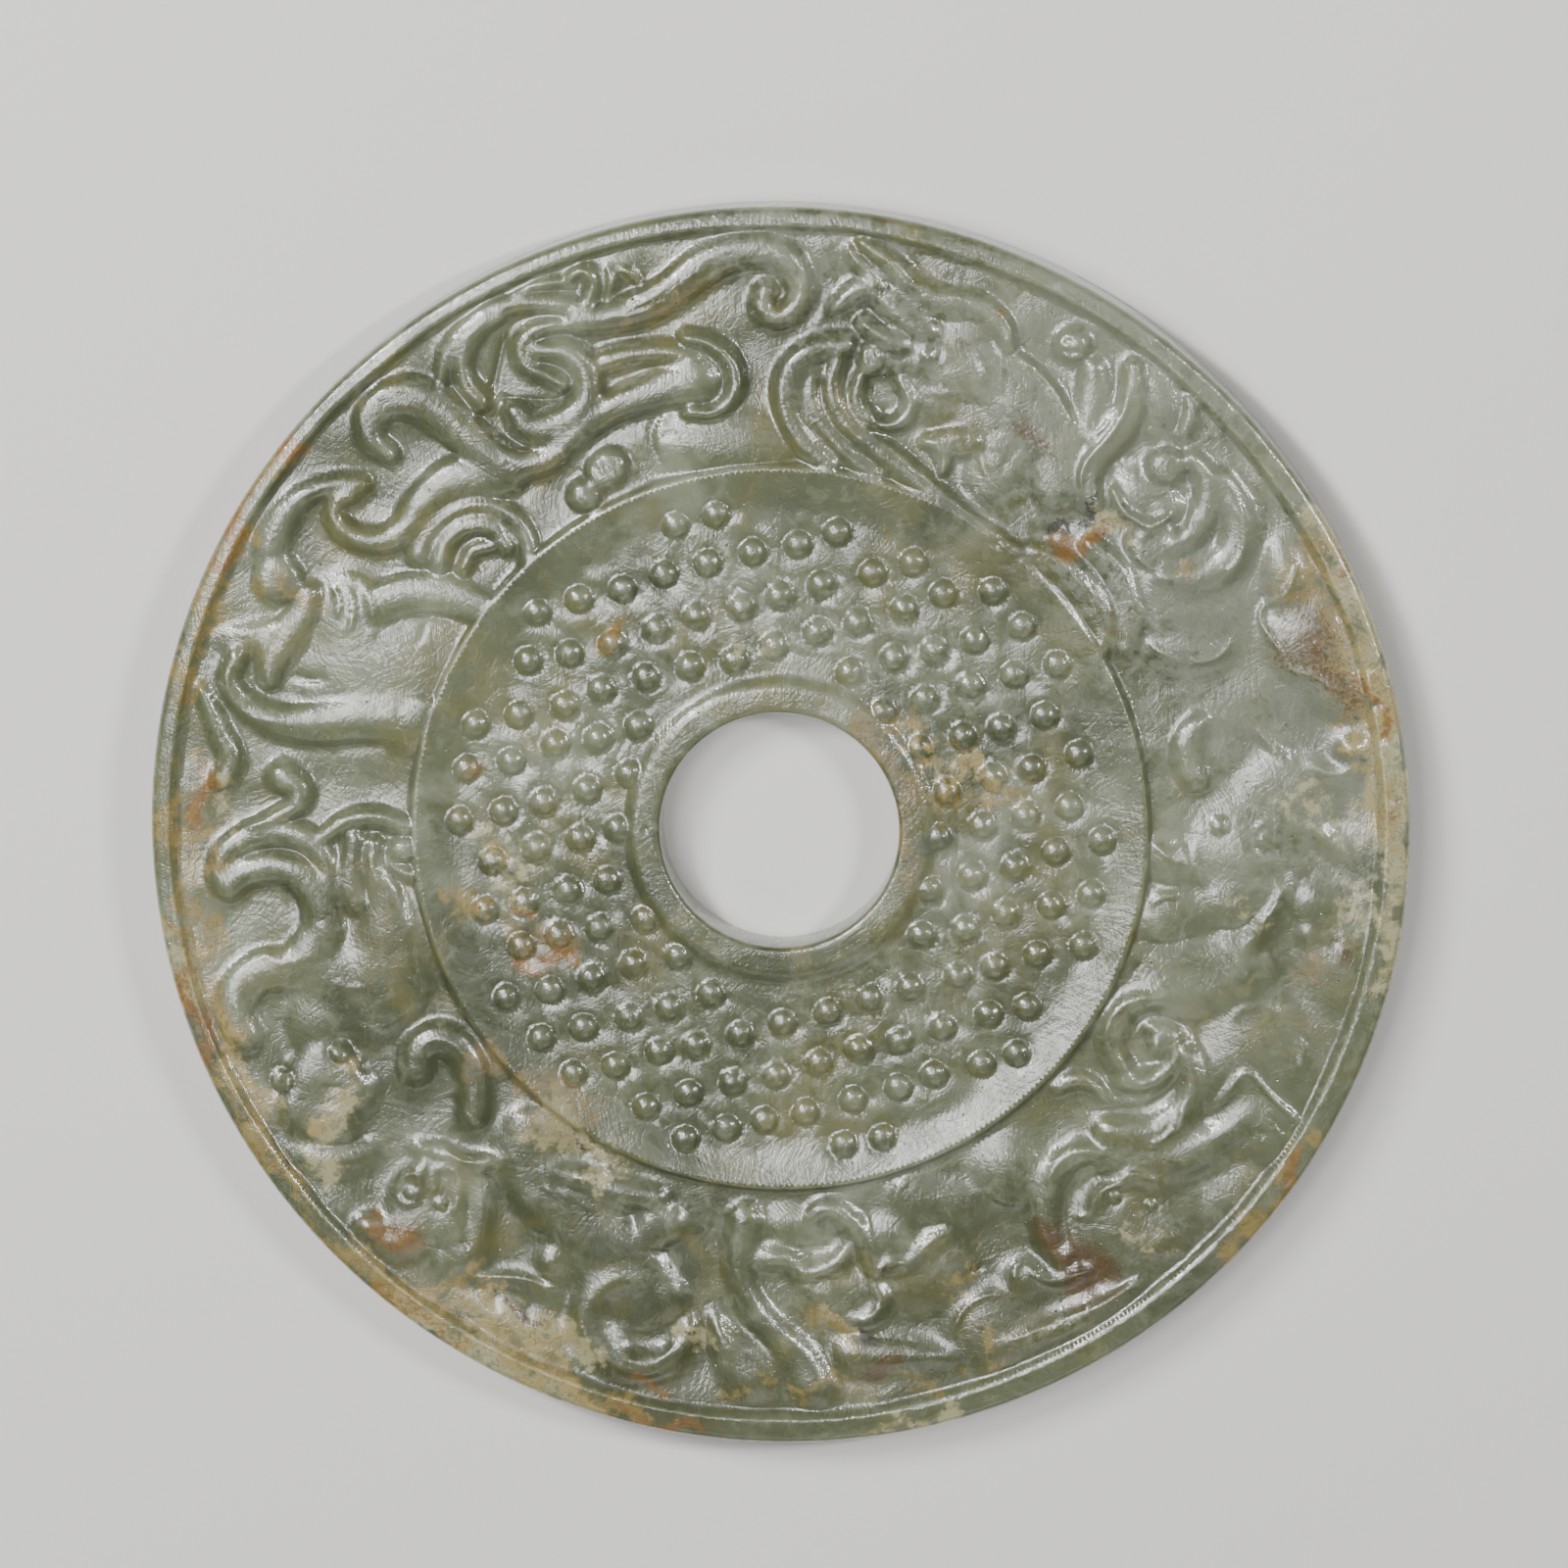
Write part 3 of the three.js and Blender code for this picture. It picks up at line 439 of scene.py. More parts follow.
topDragon = {
    "bands": [
        ((2.6, 3.4, 4, 4, 3.6, 3), 1.4, (9.4, 74), (8, 70), (8.6, 65.8), (11.4, 62), (16.4, 58),
         (22, 53.4), (29, 48), (36, 43)),
        ((2.4, 3.4, 3.4, 2.4), 1.2, (5.6, 72), (4.6, 67.6), (6.4, 62.8), (10.6, 58), (15, 55)),
        ((3.4, 4.6, 4.6, 3.4), 1.4, (10, 75), (5, 74), (1.8, 70.4), (1.6, 65.6), (3.8, 60.6),
         (7.6, 56.6)),
        ((7, 9.6, 10, 9, 7), 1.4, (27, 71), (33, 69.6), (38, 65), (41.4, 59), (42, 53)),
        ((2, 3.4, 4.4, 4.4, 4, 3), 1.6, (12.4, 90.6), (16.6, 87.4), (19.8, 83.8), (24, 81.4),
         (29.4, 80.8), (33.4, 77.8), (34.4, 75)),
        ((2, 4.4, 5.4, 4.6), 1.6, (12.6, 83.6), (15.6, 82.4), (18.6, 79.6), (22, 77)),
        ((0.8, 2.8, 3.6, 2.4), 1.5, (7.4, 79.6), (9.8, 82), (12.4, 83.6), (15, 84.6)),
        ((1.6, 2.6, 2), 1.3, (10.6, 89.4), (12, 87.4), (14.4, 85.6)),
        ((2.4, 3.4, 3), 1.8, (12.8, 78.2), (15, 76.4), (18.4, 75)),
        ((2, 2.8, 2.8, 2, 1.4), 1.5, (18.4, 69.4), (20, 66.2), (18.2, 63.2), (15, 63), (13.6, 65)),
        ((2, 3, 2.4), 1.3, (12.4, 70.6), (11.6, 66.6), (13.4, 63)),
        ((1.6, 2.8, 2.6, 1.4), 1.5, (21.8, 60.4), (24, 59.8), (25, 57.6), (24.6, 55.6)),
    ],
    "mounds": [
        (13.9, 72.8, 2.1, 2.7, 10, 1.6), (22.4, 73.3, 1.5, 1.4, 0, 1.95), (26.6, 60, 4.6, 2.4, 0, 1.4),
    ],
    "swells": [
        (33.6, 57.6, 7.4, 4.4, 75, 1.2), (24, 72.4, 6.6, 5, 5, 1.5), (19, 73, 4, 3, -20, 1.6),
        (30, 63.6, 5, 3, -20, 1.0), (24, 66.6, 4, 3, 0, 1.2), (28, 76.6, 5, 3, 0, 1.3),
    ],
    "eyes": [],
    "crests": [
        (0.34, (35, 74), (39.6, 70.2), (43, 65), (45.2, 60.6)),
        (0.22, (19.8, 73.4), (21.4, 74.8), (23.6, 74.6), (25.6, 73.4), (23.6, 71.9), (21.2, 71.8),
         (19.8, 73.4)),
        (0.18, (32.2, 67.7), (35.9, 64), (38.1, 59.5), (39.6, 53.6)),
        (0.2, (15, 90), (17.4, 87.2), (20.6, 84), (25, 82.6), (30, 82)),
        (0.16, (8.6, 75.4), (3.4, 74), (0.4, 70.4), (0.4, 65.4), (3, 60), (6.6, 56.4)),
        (0.2, (7.4, 72.4), (6.8, 68), (8, 64), (11, 61)), (0.22, (12.4, 78.6), (14.6, 77), (17.4, 75)),
        (0.2, (29.2, 73.7), (31, 71.6), (31.4, 69.8)),
        (0.2, (19.6, 70.6), (21.6, 68.2), (26, 67.6), (30.6, 66.6)),
        (0.2, (21.8, 60.6), (24.7, 62.4), (29.4, 61.6), (30.6, 57.4), (32.4, 53.8), (36.6, 52.2),
         (40, 53.6)),
        (0.16, (6.6, 91.6), (7.4, 86), (7.6, 82), (5.4, 78.2), (0.4, 76.4)),
        (0.2, (33, 80.6), (34.8, 77.4), (34.4, 74.6)),
    ],
    "grooves": [
        (0.24, (26.7, 60.6), (26.8, 58.8), (25.6, 57.6)), (0.28, (28, 61.2), (28.8, 59)),
        (0.28, (29.4, 60.6), (29.8, 58.4)), (0.26, (2, 68.6), (3.4, 64), (7.4, 59.4), (12, 55.4)),
        (0.22, (12, 84.2), (15.4, 82.9), (19, 80.6)), (0.24, (13.6, 64.8), (15.6, 64), (16.6, 66)),
        (0.2, (33, 54.4), (34.6, 57.6), (37, 60.6)), (0.22, (22.6, 55.8), (27, 51.6), (33.6, 46.2)),
        (0.24, (13.4, 74.6), (14, 71.4)), (0.22, (9.6, 81), (12, 82.4), (14.4, 83)),
        (0.22, (16.4, 68.4), (18, 66.4), (17, 64.6)), (0.26, (14.6, 79.6), (17.6, 78), (20.4, 75.6)),
    ],
}

dragons = [upperLeftDragon, leftDragon, lowerLeftDragon, lowerLimbs, lowerRightDragon, rightDragon,
           upperRightDragon, topDragon]


def smoothPath(points, step=0.7):
    # a Catmull-Rom curve through the points, cut into short straight steps
    p = np.array(points, float)
    p = np.vstack([2 * p[0] - p[1], p, 2 * p[-1] - p[-2]])
    pieces = []
    for a, b, c, d in zip(p[:-3], p[1:-2], p[2:-1], p[3:]):
        count = max(2, math.ceil(np.linalg.norm(c - b) / step))
        t = (np.arange(count) / count)[:, None]
        pieces.append(0.5 * (2 * b + (c - a) * t + (2 * a - 5 * b + 4 * c - d) * t ** 2
                             + (3 * b - a - 3 * c + d) * t ** 3))
    return np.vstack(pieces + [p[-2:-1]])


def offCentre(x, y):
    # the hole and what is round it were cut a little off the disc's middle
    share = 1 - bump01(np.hypot(x, y), disc["ridgeFoot"], disc["slopeFoot"])
    return x + disc["holeShift"][0] * share, y + disc["holeShift"][1] * share


class Lattice:
    # every sample of one face, in polar rows that crowd towards the hole
    def __init__(self, rowRadii, turns):
        self.radii = rowRadii
        self.angles = np.arange(turns) / turns * 2 * math.pi
        self.r, self.angle = np.meshgrid(rowRadii, self.angles, indexing="ij")
        x, y = offCentre(self.r * np.cos(self.angle), self.r * np.sin(self.angle))
        self.x = x - disc["lean"] * y          # the forms are drawn in axes leaned a little
        self.y = y - disc["lean"] * x

    def near(self, low, high):
        # the flat indices of the samples inside a box
        corners = np.array([(x, y) for x in (low[0], high[0]) for y in (low[1], high[1])])
        reach = np.hypot(*corners.T)
        rows = np.searchsorted(self.radii, [self.innerReach(low, high) - 2, reach.max() + 2])
        block = slice(max(rows[0] - 1, 0), rows[1] + 1)
        x, y = self.x[block], self.y[block]
        inside = (x > low[0]) & (x < high[0]) & (y > low[1]) & (y < high[1])
        return np.flatnonzero(inside) + block.start * len(self.angles)

    def innerReach(self, low, high):
        nearX = min(max(0, low[0]), high[0])
        nearY = min(max(0, low[1]), high[1])
        return math.hypot(nearX, nearY)


def pathField(lattice, path, reach):
    # for each sample within reach of the path: its index, distance, side and place along
    found = lattice.near(path.min(axis=0) - reach, path.max(axis=0) + reach)
    x, y = lattice.x.ravel()[found], lattice.y.ravel()[found]
    best = np.full(len(found), 1e9)
    side = np.zeros(len(found))
    along = np.zeros(len(found))
    lengths = np.hypot(*np.diff(path, axis=0).T)
    start = np.concatenate([[0], np.cumsum(lengths)])
    for k, ((ax, ay), (bx, by)) in enumerate(zip(path[:-1], path[1:])):
        dx, dy = bx - ax, by - ay
        t = np.clip(((x - ax) * dx + (y - ay) * dy) / max(lengths[k] ** 2, 1e-9), 0, 1)
        px, py = x - ax - t * dx, y - ay - t * dy
        distance = px * px + py * py
        closer = distance < best
        best[closer] = distance[closer]
        side[closer] = (dx * py - dy * px)[closer]
        along[closer] = (start[k] + t[closer] * lengths[k]) / start[-1]
    distance = np.sqrt(best)
    keep = distance < reach
    return found[keep], distance[keep], np.sign(side[keep]), along[keep]


def around(lattice, x, y, reach):
    # the samples in a square round a point, and how far each lies from it
    found = lattice.near((x - reach, y - reach), (x + reach, y + reach))
    return found, lattice.x.ravel()[found] - x, lattice.y.ravel()[found] - y


def oval(px, py, halfLength, halfWidth, turn):
    # 0 in the middle of a turned oval and 1 on its edge
    c, s = math.cos(math.radians(turn)), math.sin(math.radians(turn))
    return np.hypot((px * c + py * s) / halfLength, (py * c - px * s) / halfWidth)


def ball(u):
    return np.sqrt(np.clip(1 - u ** 2, 0, 1))


carving = {
    "breadth": 1.12,               # band widths grow by this
    "edgeShare": 0.5,              # how much of a form's height its side takes, the rest is its domed top
    "sideOut": 0.15,               # the side runs from this far outside a form's edge
    "sideIn": 0.55,                # to this far inside
    "moatDepth": 0.02,             # the cut round every form, on open ground
    "moatOver": 0.12,              # and the extra cut where it crosses another
    "moatWidth": 0.45,
    "lineWidth": 0.28,
    "wornReach": (2, 5),           # in lattice steps
    "crispSide": 2.1,
    "crestWidth": 0.4,
    "domePower": 2.0,
}


def bump01(x, low, high):
    t = np.clip((x - low) / (high - low), 0, 1)
    return t * t * (3 - 2 * t)


def positivePart(x, softness):
    # x where it is above 0, and 0 elsewhere, with the corner rounded off
    return 0.5 * (x + np.sqrt(x ** 2 + softness))


def raiseForm(relief, found, edge, lift, soft=1.0):
    # a form stands over what is there: a narrow moat outside its edge, a soft side, its own height inside
    below = relief[found]
    outside = np.clip(edge - 0.1, 0, None)
    depth = (carving["moatDepth"] + carving["moatOver"] * bump01(below, 0.3, 1.4)) / soft
    depth = depth * np.exp(-(outside / carving["moatWidth"]) ** 2)
    below = below - depth * bump01(edge, -carving["sideIn"], 0.1)
    side = bump01(-edge, -carving["sideOut"] * soft, carving["sideIn"] * soft)
    relief[found] = below + side * positivePart(lift - below, 0.02 * soft)


def blurred(height, rows, turns):
    # a running mean over a patch of the lattice, wrapped round the disc
    padded = np.pad(height, ((rows, rows), (0, 0)), mode="edge")
    total = np.cumsum(np.vstack([np.zeros((1, padded.shape[1])), padded]), axis=0)
    height = (total[2 * rows + 1:] - total[:-2 * rows - 1]) / (2 * rows + 1)
    padded = np.pad(height, ((0, 0), (turns, turns)), mode="wrap")
    total = np.cumsum(np.hstack([np.zeros((len(padded), 1)), padded]), axis=1)
    return (total[:, 2 * turns + 1:] - total[:, :-2 * turns - 1]) / (2 * turns + 1)


def tapered(along, share):
    return bump01(np.minimum(along, 1 - along), 0, share)


def addLine(lattice, relief, points, size, share, reach, width, otherWidth=None):
    # a narrow crest, or a groove if its size is below 0, that runs out at both ends
    found, distance, side, along = pathField(lattice, smoothPath(points), reach)
    wide = np.where(side > 0, width, otherWidth or width)
    relief[found] += size * tapered(along, share) * np.exp(-(distance / wide) ** 2)


def carveDragons(lattice, relief):
    for dragon in dragons:
        soft = dragon.get("soft", 1.0)
        for widths, rise, *points in dragon["bands"]:
            path = smoothPath(points)
            halves = np.array(widths) / 2 * carving["breadth"]
            found, distance, side, along = pathField(lattice, path, halves.max() + 2)
            half = np.interp(along, np.linspace(0, 1, len(widths)), halves)
            dome = 1 - np.minimum(distance / half, 1) ** carving["domePower"]
            top = carving["edgeShare"] + (1 - carving["edgeShare"]) * dome
            raiseForm(relief, found, distance - half, rise * top, soft)
        for x, y, halfLength, halfWidth, turn, rise in dragon["mounds"]:
            found, px, py = around(lattice, x, y, max(halfLength, halfWidth) + 2)
            u = oval(px, py, halfLength, halfWidth, turn)
            edge = (u - 1) * min(halfLength, halfWidth)
            top = 0.5 + 0.5 * ball(np.minimum(u, 1) ** 1.6)
            raiseForm(relief, found, edge, rise * top, soft)
        for x, y, halfLength, halfWidth, turn, rise in dragon.get("swells", []):
            found, px, py = around(lattice, x, y, max(halfLength, halfWidth) * 1.5)
            u = oval(px, py, halfLength, halfWidth, turn)
            gain = 0.8 * rise * np.exp(-0.9 * u ** 3) - relief[found]
            relief[found] += positivePart(gain, 0.12) * bump01(-u, -1.5, -1.0)
    # worn smooth: a little at the upper left, far more opposite
    flat = relief.reshape(lattice.x.shape)
    some, more = (blurred(blurred(flat, n, n), n, n) for n in carving["wornReach"])
    share = bump01(-np.cos(lattice.angle - carving["crispSide"]), -0.35, 0.6)
    relief[:] = (some + (more - some) * share).ravel()
    for dragon in dragons:
        soft = dragon.get("soft", 1.0)
        for size, *points in dragon["crests"]:
            size = (1.1 + 0.5 * (soft > 1)) * size             # soft forms need more of a crest to show
            addLine(lattice, relief, points, size, 0.2, 1.6, carving["crestWidth"])
        for depth, *points in dragon["grooves"]:
            addLine(lattice, relief, points, -depth, 0.3, 1.2, carving["lineWidth"])
        for depth, width, *points in dragon.get("cuts", []):   # steep on the right of its way
            addLine(lattice, relief, points, -depth, 0.22, 3 * width, width, 0.35 * width)
        for x, y, radius in dragon.get("eyes", []):
            found, px, py = around(lattice, x, y, radius + 1.2)
            d = np.hypot(px, py)
            rounded = 0.5 * ball(np.minimum(d / (0.7 * radius), 1))
            socket = 0.18 * np.exp(-((d - 0.85 * radius) / 0.4) ** 2)
            relief[found] += (rounded - socket) / math.sqrt(soft)


def handWaver(lattice, size, reach, seed):
    # slow unevenness of a surface worked by hand: a few crossed waves
    rng = np.random.default_rng(seed)
    wave = np.zeros_like(lattice.x)
    for _ in range(9):
        heading, phase = rng.uniform(0, 2 * math.pi, 2)
        length = size * rng.uniform(0.7, 1.8)
        way = lattice.x * math.cos(heading) + lattice.y * math.sin(heading)
        wave += np.sin(2 * math.pi * way / length + phase)
    return reach * wave / 3


def bossPlaces():
    rng = np.random.default_rng(boss["seed"])
    origin, alongRow, nextRow = (np.array(boss[k]) for k in ("origin", "alongRow", "nextRow"))
    places = []
    for row in range(-16, 17):
        for column in range(-16, 17):
            x, y = origin + column * alongRow + row * nextRow + rng.normal(0, boss["wander"], 2)
            if boss["inner"] < math.hypot(x, y) < boss["outer"]:
                places.append((x, y))
    return places


def raiseBosses(lattice, height, rise, radius, ground):
    for x, y in bossPlaces():
        found, px, py = around(lattice, x, y, radius + 1.7)
        d = np.hypot(px, py)
        dish = 0.14 * np.clip(1 - (d - radius) / 1.6, 0, 1) ** 2 * (d > radius)
        ring = 0.05 * np.exp(-((d - radius - 0.2) / 0.25) ** 2)
        below = height[found] - dish - ring
        domed = np.maximum(below, ground + rise * ball(d / radius) ** 1.35)
        height[found] = np.where(d < radius, domed, below)


wear = {
    "nicks": 70,                   # small dents scattered along the rim
    "pits": 25,                    # and over the rest
    "seed": 11,
    "chips": [                     # larger losses: x, y, radius, depth
        (88.6, 25.4, 1.3, 0.3), (92.4, 15, 1.2, 0.35), (93.6, 5.4, 1, 0.3), (90.8, 20, 0.8, 0.3),
        (85.4, 42.6, 1, 0.3), (78.4, -54, 1, 0.25), (43.6, 47.4, 1.2, 0.35), (41.2, 45.8, 0.9, 0.3),
        (47.6, 49.8, 0.8, 0.25), (46, -67.6, 1.8, 0.35), (43.4, -64.6, 1.3, 0.3), (49, -70.6, 1.4, 0.3),
        (-39, -75.6, 1.5, 0.35), (-44, -73.6, 1.1, 0.3), (-33, -80.6, 1.3, 0.3), (-14.6, -79, 1.2, 0.35),
        (7.6, -77.4, 1.2, 0.3), (11.8, -78.2, 0.9, 0.3), (33, 44.8, 0.7, 0.3), (36.4, 42.6, 0.6, 0.25),
        (-59.6, -62.6, 1.1, 0.25), (-29.4, -50, 0.7, 0.3), (-20, -93.6, 0.9, 0.35),
        (-88.6, -32, 0.9, 0.25), (84.6, -17, 1.1, 0.3), (33, -12.7, 0.5, 0.4), (10, -40.7, 0.35, 0.3),
        (2.4, -42.6, 0.35, 0.3), (-20.3, 0.9, 0.4, 0.35),
    ],
}


def wearAway(lattice, height):
    rng = np.random.default_rng(wear["seed"])
    dents = list(wear["chips"])
    for count, inner, outer in ((wear["nicks"], 91.5, 95.2), (wear["pits"], 20, 91)):
        for _ in range(count):
            radius, turn = rng.uniform(inner, outer), rng.uniform(0, 2 * math.pi)
            size, depth = rng.uniform(0.16, 0.42), rng.uniform(0.04, 0.15)
            dents.append((radius * math.cos(turn), radius * math.sin(turn), size, depth))
    for x, y, radius, depth in dents:
        found, px, py = around(lattice, x, y, 2.2 * radius)
        turn, stretch = rng.uniform(0, math.pi), rng.uniform(0.6, 1)
        lengthwise = px * math.cos(turn) + py * math.sin(turn)
        crosswise = py * math.cos(turn) - px * math.sin(turn)
        u = np.hypot(lengthwise, crosswise / stretch) / radius
        ragged = 1 + 0.1 * np.sin(3 * np.arctan2(py, px) + turn) + 0.08 * np.sin(5 * np.arctan2(py, px))
        height[found] -= depth * np.exp(-(u * ragged) ** 3)


def rimEdge():
    # where the face ends and the rounded edge begins
    return disc["radius"] - disc["edgeRound"] * (1 - math.sin(math.radians(disc["rimLean"])))


def frontFace(lattice):
    d = disc
    r, angle = lattice.r, lattice.angle
    waver = handWaver(lattice, 26, 0.5, 3)
    shift = d["rimShift"] * np.cos(angle - d["rimTurn"])
    slopeTop = d["slopeTop"] + shift + 0.2 * waver
    slopeFoot = d["slopeFoot"] + shift + 0.35 * waver
    bandFoot = d["bandFoot"] + 1.2 * waver
    # the ground of the dragon zone, a little dished, with the relief standing on it
    across = np.clip((r - d["ridgeFoot"]) / (d["slopeFoot"] - d["ridgeFoot"]), 0, 1)
    relief = (-d["zoneDish"] * np.sin(math.pi * across) + handWaver(lattice, 11, 0.12, 5)).ravel()
    carveDragons(lattice, relief)
    relief = relief.reshape(r.shape)
    zone = d["dragonGround"] + relief + 0.5 * bump01(r, 82, slopeFoot)
    # the slope up to the rim, the lip, and the rim falling away
    slope = d["dragonGround"] + d["slopeRise"] * np.clip((r - slopeFoot) / (slopeTop - slopeFoot), 0, 1)
    acrossRim = np.clip((r - slopeTop) / (rimEdge() - slopeTop), 0, 1)
    slope = np.where(r > slopeTop, d["thickness"] - d["lip"] - d["rimDrop"] * acrossRim ** 1.3, slope)
    slope += d["lip"] * np.exp(-((r - slopeTop) / 0.2) ** 2)
    slope -= 0.12 * np.exp(-((r - slopeFoot) / 0.3) ** 2)
    fading = zone - 6 * np.clip(r - slopeFoot - 0.4, 0, 9)      # forms that reach the slope run out on it
    height = np.where(r > slopeFoot - 0.6, np.maximum(slope, fading), zone)
    # the dividing ridge and the band that slopes in from it
    outside = d["ridgeTop"] - 1.7 * bump01(r, d["ridge"], d["ridgeFoot"])
    rise = (r - bandFoot) / (d["bandTop"] - bandFoot)
    band = d["fieldGround"] + 1.1 * np.minimum(positivePart(rise, 0.01), 1)
    band += 0.12 * bump01(r, d["bandTop"], d["bandTop"] + 0.6)
    inside = np.where(r > d["ridge"] - 0.25, d["ridgeTop"], band)
    overlapped = np.maximum(outside, np.minimum(zone, d["ridgeTop"] - 0.2))
    ridge = np.where(r > d["ridge"], overlapped, inside)
    height = np.where(r < d["ridgeFoot"], ridge, height)
    # the grain field and the collar
    field = (height + handWaver(lattice, 4, 0.1, 21) * bump01(r, 24, 27) * bump01(-r, -51, -47)).ravel()
    raiseBosses(lattice, field, boss["rise"], boss["radius"], d["fieldGround"])
    height = field.reshape(r.shape)
    collar = d["fieldGround"] + 1.1 * bump01(-r, -d["collarFoot"] - 0.3 * waver, -d["collarOuter"])
    collar += 0.05 * handWaver(lattice, 14, 1.0, 9)
    height = np.where(r < d["collarFoot"] + 2.5, height + positivePart(collar - height, 0.01), height)
    height -= 0.02 * handWaver(lattice, 7, 1.0, 13) * bump01(-r, -91, -90) * bump01(r, 19, 20)
    height = np.minimum(height, d["thickness"]).ravel()
    wearAway(lattice, height)
    return height.reshape(r.shape)


def backFace(lattice):
    # plainer: flat rim and collar that it lies on, a shallow field of lower bosses inside a ridge
    d = disc
    r = lattice.r
    depth = d["backGround"] * bump01(-r, -88.0, -86.6) * bump01(r, 23.0, 24.2)
    ridge = (d["backGround"] - 0.5) * np.exp(-((r - d["ridge"]) / 0.6) ** 2)
    height = (-(depth - ridge * (depth > 0.4))).ravel()
    raiseBosses(lattice, height, d["backBossRise"], boss["radius"], -d["backGround"])
    return height.reshape(r.shape)


# the mesh is made of cells that are split where the surface bends
meshing = {
    "turns": 96,                   # cells round the disc before splitting
    "rows": 26,
    "levels": 5,
    "frontTolerance": 0.053,       # mm between surface and facet
    "backTolerance": 0.4,
    "frontCoarsest": 2.2,
    "backCoarsest": 9,
    "smallest": 0.3,
    "fineFactor": 2.4,             # the finest levels are kept for sharp creases
    "rimLevel": 2,                 # how finely the cells beside the rim and the hole are split
    "holeLevel": 1,
    "rimSides": 360,
    "holeSides": 144,
}


def latticeFor(outerRadius):
    fine = 2 ** meshing["levels"]
    total = meshing["rows"] * fine
    pins = [0, 17 * fine + fine * 3 // 4, 25 * fine, total]      # rows that fall on the ridge and the slope
    pinned = [disc["holeRadius"] + disc["holeBevel"], disc["ridge"], disc["slopeTop"], outerRadius]
    radii = np.exp(np.interp(np.arange(total + 1), pins, np.log(pinned)))
    return Lattice(radii, meshing["turns"] * fine)


def splitCells(height, lattice, tolerance, coarsest):
    # which cells of each level are split, with neighbours never more than one level apart
    levels = meshing["levels"]
    rows, turns = meshing["rows"], meshing["turns"]
    wrapped = np.concatenate([height, height[:, :1]], axis=1)
    split = []
    exists = np.ones((rows, turns), bool)
    for level in range(levels):
        s = 2 ** (levels - level)
        a, b = wrapped[:-1:s, :-1:s], wrapped[s::s, :-1:s]
        c, e = wrapped[:-1:s, s::s], wrapped[s::s, s::s]
        worst = np.zeros_like(a)
        parts = 4 if s >= 4 else 2
        for i in range(parts + 1):
            for j in range(parts + 1):
                u, v = i / parts, j / parts
                flat = (1 - u) * (1 - v) * a + u * (1 - v) * b + (1 - u) * v * c + u * v * e
                di, dj = i * s // parts, j * s // parts
                there = wrapped[di:di + len(height) - s:s, dj:dj + height.shape[1] - s + 1:s]
                worst = np.maximum(worst, np.abs(there[:a.shape[0], :a.shape[1]] - flat))
        size = np.diff(lattice.radii[::s])[:, None]
        limit = tolerance * meshing["fineFactor"] ** max(level - 2, 0)
        refine = exists & ((worst > limit) & (size / 2 > meshing["smallest"]) | (size > coarsest))
        refine[-1] = exists[-1] & (level < meshing["rimLevel"])
        refine[0] = exists[0] & (level < meshing["holeLevel"])
        split.append(refine)
        exists = np.repeat(np.repeat(refine, 2, 0), 2, 1)
    for level in range(levels - 1, 0, -1):
        grown = split[level] | np.roll(split[level], 1, 1) | np.roll(split[level], -1, 1)
        grown[1:] |= split[level][:-1]
        grown[:-1] |= split[level][1:]
        parent = grown.reshape(grown.shape[0] // 2, 2, grown.shape[1] // 2, 2).any(axis=(1, 3))
        split[level - 1] |= parent
    return split


def cellFaces(split, turns):
    # triangles of lattice corners; a cell beside smaller ones is fanned from its middle
    levels = meshing["levels"]
    fine = 2 ** levels
    width = meshing["turns"] * fine * 2       # keys count half steps, so that a middle has one too
    faces = []
    exists = np.ones((meshing["rows"], meshing["turns"]), bool)
    for level in range(levels + 1):
        here = split[level] if level < levels else np.zeros_like(exists)
        leaf = exists & ~here
        i, j = np.nonzero(leaf)
        s = 2 ** (levels - level) * 2
        top, left = i * s, j * s

        def key(di, dj):
            return (top + di) * width + (left + dj) % width

        def add(chosen, *triangle):
            faces.append(np.stack([corner[chosen] for corner in triangle], 1))

        def splitAt(di, dj):
            ni, nj = i + di, (j + dj) % here.shape[1]
            inside = (ni >= 0) & (ni < here.shape[0])
            return inside & here[np.clip(ni, 0, here.shape[0] - 1), nj]

        corners = [key(0, 0), key(s, 0), key(s, s), key(0, s)]
        mids = [key(s // 2, 0), key(s, s // 2), key(s // 2, s), key(0, s // 2)]
        hung = [splitAt(0, -1), splitAt(1, 0), splitAt(0, 1), splitAt(-1, 0)]
        anyHung = hung[0] | hung[1] | hung[2] | hung[3]
        swap = ((i + j) % 2 == 0) & ~anyHung
        keep = ~anyHung & ~swap
        a, b, c, d = corners
        add(keep, a, b, c)
        add(keep, a, c, d)
        add(swap, a, b, d)
        add(swap, b, c, d)
        middle = key(s // 2, s // 2)
        for side in range(4):
            p, q, m = corners[side], corners[(side + 1) % 4], mids[side]
            cut = anyHung & hung[side]
            whole = anyHung & ~hung[side]
            add(whole, middle, p, q)
            add(cut, middle, p, m)
            add(cut, middle, m, q)
        if level < levels:
            exists = np.repeat(np.repeat(here, 2, 0), 2, 1)
    return np.vstack(faces), width


